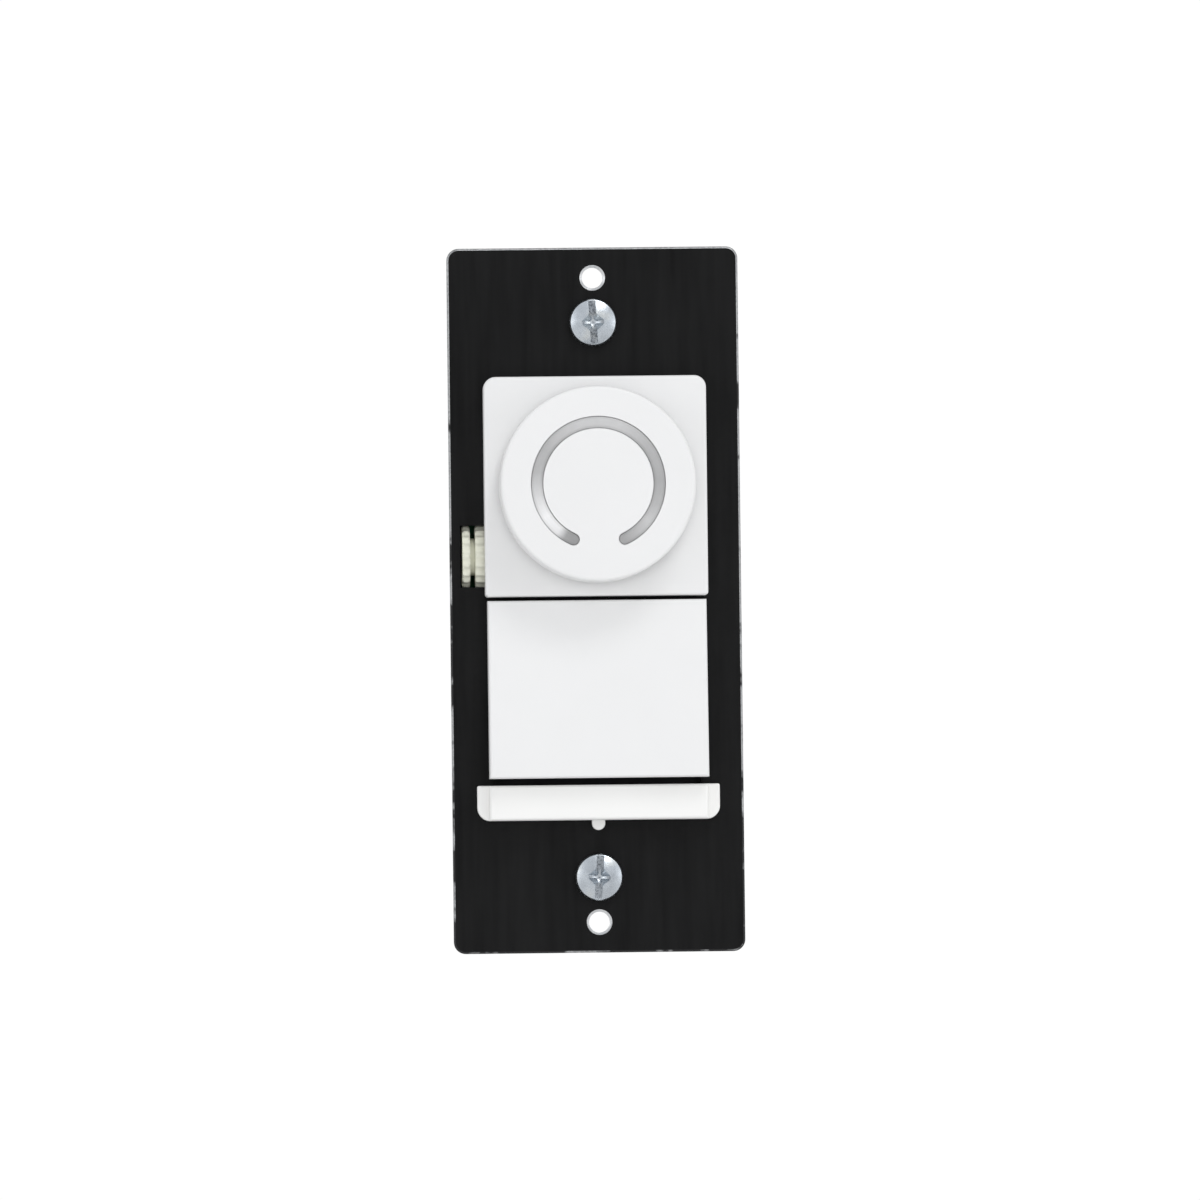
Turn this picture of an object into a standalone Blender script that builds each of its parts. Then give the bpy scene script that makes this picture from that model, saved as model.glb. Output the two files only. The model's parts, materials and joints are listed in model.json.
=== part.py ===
"""Rotary wall dimmer for a rectangular-opening wall plate, as it comes out of its box.

Frame: +X to the user's right, +Z up, the user looks along +Y. The origin is the centre of the
mounting strap's rear face, so everything behind the strap has a positive Y. Units are metres.
"""

import math

import bmesh
import bpy
from mathutils import Matrix, Vector

# Strap: the aluminium plate that carries everything and sheds the heat.
STRAP_WIDTH = 0.0438
STRAP_HEIGHT = 0.1060
STRAP_THICK = 0.0016
STRAP_CORNER = 0.0018
STRAP_FRONT = -STRAP_THICK
PLATE_SCREW_Z = 0.04842
BOX_SCREW_Z = 0.04167
OPENING_HALF = 0.0155
OPENING_TOP = -0.0006
TAB_INNER_Z = 0.0328
TAB_OUTER_Z = TAB_INNER_Z + STRAP_THICK
TAB_DEPTH = 0.0080
TOP_TAB_HALF = 0.0080
BOTTOM_TAB_HALF = 0.0153
PLATE_HOLE_RADIUS = 0.0014
PLATE_HOLE_MOUTH = 0.0019
PLATE_HOLE_CHAMFER = (0.00155, 0.00105)
BOX_SLOT_HALF = 0.0030
BOX_SLOT_RADIUS = 0.0021
TAB_HOLE_RADIUS = 0.0017
GROUND_HOLE_RADIUS = 0.0018

# Clearances between pieces that touch on the real object.
GAP = 0.0003
FINE_GAP = 0.00006
INSET = 0.00002

# Bezel around the knob.
BEZEL_HALF = 0.0167
BEZEL_LOW = 0.00045
BEZEL_HIGH = 0.03345
BEZEL_FRONT = -0.0068
FRONT_SEAT = STRAP_FRONT - GAP
WALL = 0.0016
BEZEL_TOP_CORNER = 0.0018
BEZEL_BOTTOM_CORNER = 0.0005
EDGE = 0.0004
LEG_HALF = 0.0020
LEG_THICK = 0.0012
LEG_BACK = 0.0015
HOOK_HALF = 0.0019
HOOK_BACK = 0.0014
HOOK_REACH = 0.0013
LEG_SLOT_HALF = 0.0024
LEG_SLOT_BELOW = 0.0016
LEG_SLOT_ABOVE = 0.0012

# Knob and the potentiometer that it turns.
KNOB_Z = 0.0170
KNOB_RADIUS = 0.0146
KNOB_FRONT = 0.0170
KNOB_BACK = 0.0076
KNOB_EDGE = 0.0005
KNOB_FACE_THICK = 0.0020
KNOB_SKIRT = 0.0017
KNOB_BOSS_RADIUS = 0.0052
KNOB_BOSS_BACK = 0.0082
SHAFT_RADIUS = 0.0030
SHAFT_FRONT = 0.0144
SHAFT_FLAT = 0.00205
FLAT_BACK = -0.0080
BUSHING_RADIUS = 0.0046
BUSHING_FRONT = 0.0046
POT_RADIUS = 0.0080
POT_BACK = 0.0067
NUT_ACROSS_FLATS = 0.0120
NUT_THICK = 0.0020

# Level arc let into the knob's face.
ARC_INNER = 0.0083
ARC_OUTER = 0.0100
ARC_FROM = math.radians(-65.0)
ARC_TO = math.radians(245.5)
ARC_DEPTH = 0.0009

# Paddle: rocks on a pin near its top edge.
PADDLE_HALF = 0.0164
PADDLE_TOP = -0.00015
PADDLE_BOTTOM = -0.0268
PADDLE_TOP_FRONT = -0.0069
PADDLE_BOTTOM_FRONT = -0.0098
PIVOT_Y = -0.0036
PIVOT_Z = -0.0034
PIN_RADIUS = 0.0008
PIN_HALF = 0.0156
PIN_BORE = 0.00105
PADDLE_BACK_TOP = -0.00195
PADDLE_BACK_BOTTOM = -0.0038
POST_X = 0.0120
POST_HALF_X = 0.0010
POST_HALF_Z = 0.0015
COLLAR_RADIUS = 0.0038
COLLAR_BACK = 0.0044

# Plunger and push switch behind the paddle.
PLUNGER_Z = -0.0200
PLUNGER_RADIUS = 0.0020
PLUNGER_FLANGE_RADIUS = 0.0036
PLUNGER_NOSE = 0.0071
PLUNGER_FLANGE_FRONT = 0.0067
PLUNGER_FLANGE_BACK = 0.0057
PLUNGER_TIP = -0.0048
BUTTON_RADIUS = 0.0015
BUTTON_BACK = -0.0081
SWITCH_FRONT = 0.0062
SWITCH_HALF = 0.0035
SWITCH_BORE_RADIUS = 0.0018
SWITCH_BORE_BACK = 0.0097
SPRING_TURNS = 5
SPRING_RADIUS = 0.0029
SPRING_WIRE = 0.00022

# Pull-out bar of the service switch.
BAR_HALF = 0.0182
BAR_RAISED_HALF = 0.01645
BAR_TOP = -0.0278
BAR_BOTTOM = -0.0331
BAR_FRONT = -0.0064
BAR_WING_FRONT = -0.0040
BAR_LUG_HALF = 0.0010
BAR_LUG_LOW = -0.0346
STEM_X = 0.0055
STEM_HALF = 0.0016
STEM_LOW = -0.0302
STEM_HIGH = -0.0284
STEM_BACK = 0.0066
TONGUE_THICK = 0.0015
BRIDGE_HALF = 0.0095
BRIDGE_THICK = 0.0008
CONTACT_X = 0.0078
CONTACT_RADIUS = 0.0014
CONTACT_SHANK_RADIUS = 0.0010

# Thumbwheel for the low-end trim.
WHEEL_RADIUS = 0.0048
WHEEL_GROOVE_RADIUS = 0.0037
WHEEL_Y = 0.0020
WHEEL_Z = 0.0067
WHEEL_LEFT = -0.0200
WHEEL_GROOVE_LEFT = -0.01875
WHEEL_GROOVE_RIGHT = -0.0181
WHEEL_RIGHT = -0.0164
WHEEL_FLUTES = 20
WHEEL_FLUTE_DEPTH = 0.00035
WHEEL_STUB_RADIUS = 0.00095
WHEEL_STUB_END = -0.0125
WHEEL_NOTCH_X = (-0.0184, -0.0148)
WHEEL_NOTCH_HALF = 0.0036
TRIMMER_X = (-0.0158, -0.0113)
TRIMMER_HALF_Z = 0.0040

# Rear housing and circuit board.
HOUSING_HALF = 0.0214
HOUSING_END = 0.0325
HOUSING_STEP = 0.0140
HOUSING_REAR = 0.0300
HOUSING_REAR_HALF = 0.0175
HOUSING_WALL = 0.0018
HOUSING_END_WALL = 0.0020
FRAME_BACK = 0.0018
FRAME_TOP = 0.0013
BOARD_FRONT = 0.0103
BOARD_BACK = 0.0119
BOARD_HALF = 0.0192
BOARD_END = 0.0301
BARRIER_HALF = 0.0210
BARRIER_THICK = 0.0012
BARRIER_LEVELS = (0.0200, 0.0040, -0.0040, -0.0200)
BOSS_HALF = 0.0024
BOSS_START = 0.0265
BOSS_HOLE_RADIUS = 0.0016
TOP_SCREW_X = 0.0055
BOTTOM_SCREW_X = 0.0130
HOUSING_SCREW_Y = 0.0050
GROUND_REST_X = (0.0052, 0.0082)
GROUND_REST_Y = (0.0035, 0.0065)
WIRE_REST_HEIGHT = 0.0004
TERMINAL_Y = 0.0220
TERMINAL_Z = 0.0120
TERMINAL_PLATE_THICK = 0.0008
TERMINAL_PLATE_HALF_Y = 0.0045
TERMINAL_PLATE_HALF_Z = 0.0040
TERMINAL_LIP = 0.0009
TERMINAL_HOLE_RADIUS = 0.0019

# Slots in the screw heads.
SLOT_HALF = 0.00045

# Triac on the back of the strap.
TRIAC_X = 0.0143
TRIAC_LOW = 0.0100
TRIAC_HIGH = 0.0255
TRIAC_HOLE_Z = 0.0226
TRIAC_FRONT = 0.0009
TRIAC_HALF = 0.0050
TRIAC_TAB_THICK = 0.0013
TRIAC_HOLE_RADIUS = 0.0017
TRIAC_TAP_RADIUS = 0.00155
TRIAC_LEG_PITCH = 0.00254

FRONTWARD = (math.pi / 2, 0, 0)
BACKWARD = (-math.pi / 2, 0, 0)
RIGHTWARD = (0, math.pi / 2, 0)
LEFTWARD = (0, -math.pi / 2, 0)
UPWARD = (0, 0, 0)
DOWNWARD = (math.pi, 0, 0)

FINISHES = {
    "white_plastic": ((0.88, 0.88, 0.87), 0.35, 0.0),
    "bar_plastic": ((0.90, 0.90, 0.88), 0.35, 0.0),
    "arc_grey": ((0.40, 0.40, 0.40), 0.30, 0.0),
    "black_anodised": ((0.014, 0.014, 0.016), 0.45, 0.6),
    "cream_plastic": ((0.66, 0.66, 0.56), 0.45, 0.0),
    "housing_plastic": ((0.025, 0.025, 0.028), 0.55, 0.0),
    "frame_plastic": ((0.03, 0.03, 0.03), 0.55, 0.0),
    "zinc_plate": ((0.62, 0.66, 0.70), 0.25, 1.0),
    "bright_steel": ((0.55, 0.55, 0.56), 0.30, 1.0),
    "brass": ((0.72, 0.52, 0.22), 0.30, 1.0),
    "dark_screw": ((0.06, 0.06, 0.06), 0.35, 0.9),
    "green_screw": ((0.02, 0.26, 0.07), 0.40, 0.3),
    "copper": ((0.62, 0.26, 0.10), 0.35, 1.0),
    "board_green": ((0.02, 0.14, 0.05), 0.45, 0.0),
    "black_epoxy": ((0.02, 0.02, 0.02), 0.50, 0.0),
    "insulator_pad": ((0.45, 0.52, 0.56), 0.70, 0.0),
    "capacitor_yellow": ((0.70, 0.52, 0.08), 0.35, 0.0),
    "varistor_blue": ((0.04, 0.10, 0.38), 0.40, 0.0),
    "resistor_tan": ((0.60, 0.45, 0.28), 0.55, 0.0),
    "bobbin_nylon": ((0.55, 0.53, 0.48), 0.50, 0.0),
    "fibre": ((0.30, 0.09, 0.05), 0.85, 0.0),
}


def new_collection(name, helper):
    collection = bpy.data.collections.new(name)
    collection.hide_render = helper
    bpy.context.scene.collection.children.link(collection)
    return collection


def clear_scene():
    for obj in list(bpy.data.objects):
        bpy.data.objects.remove(obj, do_unlink=True)


def make_materials():
    """One Principled material for each finish."""
    made = {}
    for name, (colour, roughness, metallic) in FINISHES.items():
        material = bpy.data.materials.new(name)
        material.use_nodes = True
        shader = material.node_tree.nodes["Principled BSDF"]
        shader.inputs["Base Color"].default_value = (*colour, 1)
        shader.inputs["Roughness"].default_value = roughness
        shader.inputs["Metallic"].default_value = metallic
        made[name] = material
    return made


clear_scene()
PARTS = new_collection("rotary_wall_dimmer", False)
CUTTERS = new_collection("cutters", True)
MATERIALS = make_materials()


def add(name, mesh):
    """A new object among the parts."""
    obj = bpy.data.objects.new(name, mesh)
    PARTS.objects.link(obj)
    return obj


def finish(obj, material):
    """The piece's own finish, with smooth shading that keeps its real corners."""
    obj.data.materials.clear()
    obj.data.materials.append(MATERIALS[material])
    if len(obj.data.polygons):
        obj.data.shade_smooth()
        obj.data.set_sharp_from_angle(angle=math.radians(35))
    return obj


def hang(obj, axis_empty):
    """Puts a moving piece under the empty on its joint's axis, without moving it."""
    obj.parent = axis_empty
    obj.location = obj.location - axis_empty.location
    return obj


def axis_at(name, point):
    empty = bpy.data.objects.new(name, None)
    empty.location = point
    empty.empty_display_size = 0.005
    PARTS.objects.link(empty)
    return empty


def box(name, x, y, z):
    """A block between the low and high value of each axis."""
    ends = list(zip(x, y, z))
    low = Vector(ends[0])
    high = Vector(ends[1])
    shape = bmesh.new()
    bmesh.ops.create_cube(shape, size=1.0)
    bmesh.ops.scale(shape, vec=high - low, verts=shape.verts)
    bmesh.ops.translate(shape, vec=(low + high) / 2, verts=shape.verts)
    return add(name, mesh_of(name, shape))


def rod(name, radius, start, end, sides=20):
    """A plain cylinder from start to end."""
    start = Vector(start)
    end = Vector(end)
    along = end - start
    turn = along.to_track_quat("Z", "Y").to_matrix().to_4x4()
    shape = bmesh.new()
    bmesh.ops.create_cone(
        shape, cap_ends=True, segments=sides, radius1=radius, radius2=radius,
        depth=along.length, matrix=Matrix.Translation((start + end) / 2) @ turn,
    )
    return add(name, mesh_of(name, shape))


def mesh_of(name, shape):
    mesh = bpy.data.meshes.new(name)
    shape.to_mesh(mesh)
    shape.free()
    return mesh


def turned(name, profile, place, facing, steps=24, ring=False):
    """A profile of (radius, height) turned about local Z, which then points along facing."""
    shape = bmesh.new()
    points = [shape.verts.new((radius, 0, height)) for radius, height in profile]
    for first, second in zip(points, points[1:]):
        shape.edges.new((first, second))
    if ring:
        shape.edges.new((points[-1], points[0]))
    obj = add(name, mesh_of(name, shape))
    obj.location = place
    obj.rotation_euler = facing
    screw = obj.modifiers.new("turn", "SCREW")
    screw.axis = "Z"
    screw.steps = steps
    screw.render_steps = steps
    screw.use_merge_vertices = True
    screw.merge_threshold = 0.00001
    screw.use_smooth_shade = True
    return obj


def slab(name, loops, y):
    """Flat outlines of (x, z) points given a thickness between two Y values.

    The first loop is the outside and any others are holes in it.
    """
    curve = bpy.data.curves.new(name, "CURVE")
    curve.dimensions = "2D"
    curve.fill_mode = "BOTH"
    curve.extrude = (y[1] - y[0]) / 2
    for loop in loops:
        spline = curve.splines.new("POLY")
        spline.points.add(len(loop) - 1)
        for point, (across, up) in zip(spline.points, loop):
            point.co = (across, up, 0, 1)
        spline.use_cyclic_u = True
    guide = bpy.data.objects.new(name + "_outline", curve)
    bpy.context.scene.collection.objects.link(guide)
    middle = Vector((0, 0, -(y[0] + y[1]) / 2))
    rotation = Matrix.Rotation(FRONTWARD[0], 4, "X")
    return solid_from_curve(name, guide, rotation @ Matrix.Translation(middle))


def solid_from_curve(name, guide, matrix):
    """The evaluated curve as a closed mesh. The curve itself is removed."""
    bpy.context.view_layer.update()
    graph = bpy.context.evaluated_depsgraph_get()
    mesh = bpy.data.meshes.new_from_object(guide.evaluated_get(graph))
    bpy.data.objects.remove(guide, do_unlink=True)
    shape = bmesh.new()
    shape.from_mesh(mesh)
    bmesh.ops.remove_doubles(shape, verts=shape.verts, dist=0.000001)
    bmesh.ops.dissolve_degenerate(shape, edges=shape.edges, dist=0.000001)
    shape.transform(matrix)
    bmesh.ops.recalc_face_normals(shape, faces=shape.faces)
    shape.to_mesh(mesh)
    shape.free()
    return add(name, mesh)


def wire(name, points, radius, place, facing, resolution=1):
    """A round wire along points given in its own frame."""
    curve = bpy.data.curves.new(name, "CURVE")
    curve.dimensions = "3D"
    curve.bevel_depth = radius
    curve.bevel_resolution = resolution
    curve.use_fill_caps = True
    spline = curve.splines.new("POLY")
    spline.points.add(len(points) - 1)
    for point, place_in_wire in zip(spline.points, points):
        point.co = (*place_in_wire, 1)
    guide = bpy.data.objects.new(name + "_line", curve)
    bpy.context.scene.collection.objects.link(guide)
    obj = solid_from_curve(name, guide, Matrix.Identity(4))
    obj.location = place
    obj.rotation_euler = facing
    return obj


def helper(obj):
    """Moves a shape out of the parts, to be used only by a Boolean."""
    PARTS.objects.unlink(obj)
    CUTTERS.objects.link(obj)
    obj.hide_render = True
    obj.display_type = "WIRE"
    return obj


def boolean(obj, other, operation):
    modifier = obj.modifiers.new(other.name, "BOOLEAN")
    modifier.operation = operation
    modifier.solver = "EXACT"
    modifier.object = helper(other)
    return obj


def cut(obj, *others):
    for other in others:
        boolean(obj, other, "DIFFERENCE")
    return obj


def fuse(obj, *others):
    for other in others:
        boolean(obj, other, "UNION")
    return obj


def round_edges(obj, width, segments, chosen):
    """Bevels only the edges whose two ends both satisfy chosen."""
    shape = bmesh.new()
    shape.from_mesh(obj.data)
    weight = shape.edges.layers.float.new("bevel_weight_edge")
    for edge in shape.edges:
        flat = len(edge.link_faces) == 2 and edge.calc_face_angle() < 0.1
        if not flat and all(chosen(end.co) for end in edge.verts):
            edge[weight] = 1.0
    shape.to_mesh(obj.data)
    shape.free()
    bevel = obj.modifiers.new("rounded_edges", "BEVEL")
    bevel.limit_method = "WEIGHT"
    bevel.width = width
    bevel.segments = segments
    return obj


def arc_points(centre, radius, start, end, steps):
    """Points along an arc, both ends included."""
    return [
        (
            centre[0] + radius * math.cos(start + (end - start) * step / steps),
            centre[1] + radius * math.sin(start + (end - start) * step / steps),
        )
        for step in range(steps + 1)
    ]


def rounded_rectangle(half, low, high, top_corner, bottom_corner, steps=4):
    """A symmetric outline, counter-clockwise from its right side."""
    quarter = math.pi / 2
    return (
        arc_points((half - top_corner, high - top_corner), top_corner, 0, quarter, steps)
        + arc_points((top_corner - half, high - top_corner), top_corner, quarter, 2 * quarter, steps)
        + arc_points((bottom_corner - half, low + bottom_corner), bottom_corner,
                     2 * quarter, 3 * quarter, steps)
        + arc_points((half - bottom_corner, low + bottom_corner), bottom_corner,
                     3 * quarter, 4 * quarter, steps)
    )


def circle(centre, radius, sides=24):
    return arc_points(centre, radius, 0, 2 * math.pi * (sides - 1) / sides, sides - 1)


def oval(centre, half_length, radius, steps=6):
    """A slot outline that runs along X."""
    right = (centre[0] + half_length - radius, centre[1])
    left = (centre[0] - half_length + radius, centre[1])
    half_turn = math.pi / 2
    return (arc_points(right, radius, -half_turn, half_turn, steps)
            + arc_points(left, radius, half_turn, 3 * half_turn, steps))


def rectangle(x, z):
    return [(x[0], z[0]), (x[1], z[0]), (x[1], z[1]), (x[0], z[1])]


def arc_band(inner, outer, clearance, steps=56):
    """The level arc's outline, with round ends, grown by the clearance."""
    middle = (inner + outer) / 2
    half = (outer - inner) / 2 + clearance
    centre = (0, KNOB_Z)
    end = (middle * math.cos(ARC_TO), KNOB_Z + middle * math.sin(ARC_TO))
    start = (middle * math.cos(ARC_FROM), KNOB_Z + middle * math.sin(ARC_FROM))
    outside = arc_points(centre, middle + half, ARC_FROM, ARC_TO, steps)
    inside = arc_points(centre, middle - half, ARC_TO, ARC_FROM, steps)
    end_cap = arc_points(end, half, ARC_TO, ARC_TO + math.pi, 6)[1:-1]
    start_cap = arc_points(start, half, ARC_FROM + math.pi, ARC_FROM + 2 * math.pi, 6)[1:-1]
    return outside + end_cap + inside + start_cap


def across(name, half, y, z):
    """A block centred on x = 0."""
    return box(name, (-half, half), y, z)


# ---------------------------------------------------------------- strap and what it carries


def make_strap():
    """Plate with the wall-plate holes, box-screw slots, openings and two bent end tabs."""
    plate = rounded_rectangle(
        STRAP_WIDTH / 2, -STRAP_HEIGHT / 2, STRAP_HEIGHT / 2, STRAP_CORNER, STRAP_CORNER, 5
    )
    bend_line = TAB_INNER_Z + 2 * INSET
    holes = [rectangle((-OPENING_HALF, OPENING_HALF), (-bend_line, OPENING_TOP))]
    window_half = TOP_TAB_HALF + 2 * INSET
    holes.append(rectangle((-window_half, window_half), (TAB_INNER_Z - TAB_DEPTH, bend_line)))
    holes.append(circle((0, KNOB_Z), BUSHING_RADIUS + GAP, 32))
    slot_half = math.sqrt(WHEEL_RADIUS**2 - WHEEL_Y**2) + GAP
    holes.append(rectangle((WHEEL_LEFT - GAP, WHEEL_RIGHT + GAP),
                           (WHEEL_Z - slot_half, WHEEL_Z + slot_half)))
    holes.append(circle((TRIAC_X, TRIAC_HOLE_Z), TRIAC_TAP_RADIUS, 16))
    for side in (1, -1):
        holes.append(oval((0, side * BOX_SCREW_Z), BOX_SLOT_HALF, BOX_SLOT_RADIUS))
    strap = slab("heat_sink_strap", [plate, *holes], (STRAP_FRONT, 0))
    for number, (x, z) in enumerate(bezel_legs(), 1):
        cut(strap, box(f"leg_slot_{number}", (x - LEG_SLOT_HALF, x + LEG_SLOT_HALF),
                       (2 * STRAP_FRONT, STRAP_THICK), (z - LEG_SLOT_BELOW, z + LEG_SLOT_ABOVE)))
    for side, half in ((1, TOP_TAB_HALF), (-1, BOTTOM_TAB_HALF)):
        name = "top" if side > 0 else "bottom"
        tab = across(name + "_tab", half, (STRAP_FRONT / 2, TAB_DEPTH),
                     sorted((side * TAB_INNER_Z, side * TAB_OUTER_Z)))
        fuse(strap, tab)
    fuse(strap, box("ground_wire_rest", GROUND_REST_X, GROUND_REST_Y,
                    (-TAB_OUTER_Z - WIRE_REST_HEIGHT, -TAB_OUTER_Z + STRAP_THICK / 2)))
    tab_hole_low = TAB_INNER_Z - STRAP_THICK
    tab_hole_high = TAB_OUTER_Z + STRAP_THICK
    for name, x, side in housing_screw_places():
        cut(strap, rod(name + "_clearance", TAB_HOLE_RADIUS, (x, HOUSING_SCREW_Y, side * tab_hole_low),
                       (x, HOUSING_SCREW_Y, side * tab_hole_high), 16))
    cut(strap, rod("ground_clearance", GROUND_HOLE_RADIUS, (0, HOUSING_SCREW_Y, -tab_hole_low),
                   (0, HOUSING_SCREW_Y, -tab_hole_high), 16))
    for side in (1, -1):
        name = "top" if side > 0 else "bottom"
        tapped = turned(
            name + "_plate_screw_hole",
            [
                (0, 2 * STRAP_THICK), (PLATE_HOLE_MOUTH, 2 * STRAP_THICK),
                (PLATE_HOLE_MOUTH, PLATE_HOLE_CHAMFER[0]),
                (PLATE_HOLE_RADIUS, PLATE_HOLE_CHAMFER[1]),
                (PLATE_HOLE_RADIUS, -STRAP_THICK), (0, -STRAP_THICK),
            ],
            (0, 0, side * PLATE_SCREW_Z), FRONTWARD,
        )
        cut(strap, tapped)
    finish(strap, "black_anodised")


def bezel_legs():
    """Centres of the four snap legs: two high and wide, two low and close together."""
    return [(-0.0120, 0.0280), (0.0120, 0.0280), (-0.0055, 0.0036), (0.0055, 0.0036)]


def make_bezel():
    """Square cap around the knob: a face, four walls and four snap legs."""
    outline = rounded_rectangle(
        BEZEL_HALF, BEZEL_LOW, BEZEL_HIGH, BEZEL_TOP_CORNER, BEZEL_BOTTOM_CORNER, 4
    )
    bezel = slab("front_bezel", [outline], (BEZEL_FRONT, FRONT_SEAT))
    round_edges(bezel, EDGE, 2, lambda at: at.y < BEZEL_FRONT + GAP)
    cut(bezel, across("bezel_hollow", BEZEL_HALF - WALL, (BEZEL_FRONT + WALL, 0),
                      (BEZEL_LOW + WALL, BEZEL_HIGH - WALL)))
    cut(bezel, rod("shaft_opening", SHAFT_RADIUS + WALL / 2, (0, BEZEL_FRONT - WALL, KNOB_Z),
                   (0, BEZEL_FRONT + 2 * WALL, KNOB_Z), 32))
    wheel_reach = WHEEL_Y - WHEEL_RADIUS - 1.3 * GAP
    cut(bezel, box("wheel_notch", WHEEL_NOTCH_X, (wheel_reach, 0),
                   (WHEEL_Z - WHEEL_NOTCH_HALF, WHEEL_Z + WHEEL_NOTCH_HALF)))
    for number, (x, z) in enumerate(bezel_legs(), 1):
        outward = 1 if z > KNOB_Z else -1
        leg = box(f"bezel_leg_{number}", (x - LEG_HALF, x + LEG_HALF),
                  (BEZEL_FRONT + WALL / 2, LEG_BACK), (z - LEG_THICK / 2, z + LEG_THICK / 2))
        hook = box(f"bezel_hook_{number}", (x - HOOK_HALF, x + HOOK_HALF), (GAP, HOOK_BACK),
                   sorted((z, z + outward * HOOK_REACH)))
        fuse(bezel, leg, hook)
    finish(bezel, "white_plastic")


def make_inner_frame():
    """Moulding behind the lower opening: carries the pin, guides the plunger and the bar."""
    frame = slab(
        "inner_frame",
        [rounded_rectangle(HOUSING_HALF, -HOUSING_END, FRAME_TOP, 0.0004, 0.0010, 2)],
        (GAP, FRAME_BACK),
    )
    for side in (-1, 1):
        name = "right" if side > 0 else "left"
        x = (side * POST_X - POST_HALF_X, side * POST_X + POST_HALF_X)
        post = box(name + "_pin_post", x, (PIVOT_Y, FRAME_BACK / 2),
                   (PIVOT_Z - POST_HALF_Z, PIVOT_Z + POST_HALF_Z))
        nose = rod(name + "_pin_nose", POST_HALF_Z + INSET, (x[0] + INSET, PIVOT_Y, PIVOT_Z),
                   (x[1] - INSET, PIVOT_Y, PIVOT_Z), 20)
        fuse(frame, post, nose)
    cut(frame, rod("pin_bore", PIN_BORE, (-PIN_HALF, PIVOT_Y, PIVOT_Z), (PIN_HALF, PIVOT_Y, PIVOT_Z)))
    fuse(frame, rod("plunger_collar", COLLAR_RADIUS, (0, FRAME_BACK / 2, PLUNGER_Z),
                    (0, COLLAR_BACK, PLUNGER_Z), 24))
    cut(frame, rod("plunger_bore", PLUNGER_RADIUS + GAP, (0, -FRAME_BACK, PLUNGER_Z),
                   (0, 2 * COLLAR_BACK, PLUNGER_Z), 24))
    for side in (-1, 1):
        x = side * STEM_X
        cut(frame, box(f"stem_slot_{side}", (x - STEM_HALF - GAP, x + STEM_HALF + GAP),
                       (-FRAME_BACK, 2 * FRAME_BACK), (STEM_LOW - GAP, STEM_HIGH + GAP)))
    finish(frame, "frame_plastic")


def make_knob(knob_axis):
    """Shallow cap with a boss whose bore has a flat for the shaft."""
    bore = SHAFT_RADIUS + GAP
    bore_end = SHAFT_FRONT + GAP
    inside = KNOB_FRONT - KNOB_FACE_THICK
    profile = [
        (0, KNOB_FRONT),
        (KNOB_RADIUS - KNOB_EDGE, KNOB_FRONT),
        (KNOB_RADIUS - 0.3 * KNOB_EDGE, KNOB_FRONT - 0.3 * KNOB_EDGE),
        (KNOB_RADIUS, KNOB_FRONT - KNOB_EDGE),
        (KNOB_RADIUS, KNOB_BACK),
        (KNOB_RADIUS - KNOB_SKIRT, KNOB_BACK),
        (KNOB_RADIUS - KNOB_SKIRT, inside),
        (KNOB_BOSS_RADIUS, inside),
        (KNOB_BOSS_RADIUS, KNOB_BOSS_BACK),
        (bore, KNOB_BOSS_BACK),
        (bore, bore_end),
        (0, bore_end),
    ]
    knob = turned("dimmer_knob", profile, (0, 0, KNOB_Z), FRONTWARD, 56)
    flat_face = SHAFT_FLAT + GAP
    flat_end = (flat_face + KNOB_BOSS_RADIUS) / 2
    flat_half = 0.75 * bore
    fuse(knob, box("bore_flat", (flat_face, flat_end), (-bore_end - GAP, -KNOB_BOSS_BACK - GAP),
                   (KNOB_Z - flat_half, KNOB_Z + flat_half)))
    groove = slab("arc_groove", [arc_band(ARC_INNER, ARC_OUTER, FINE_GAP)],
                  (-KNOB_FRONT - ARC_DEPTH, -KNOB_FRONT + ARC_DEPTH))
    cut(knob, groove)
    hang(finish(knob, "white_plastic"), knob_axis)
    insert = slab("knob_arc_insert", [arc_band(ARC_INNER, ARC_OUTER, 0)],
                  (-KNOB_FRONT + 2 * INSET, -KNOB_FRONT + ARC_DEPTH - FINE_GAP))
    hang(finish(insert, "arc_grey"), knob_axis)


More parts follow.
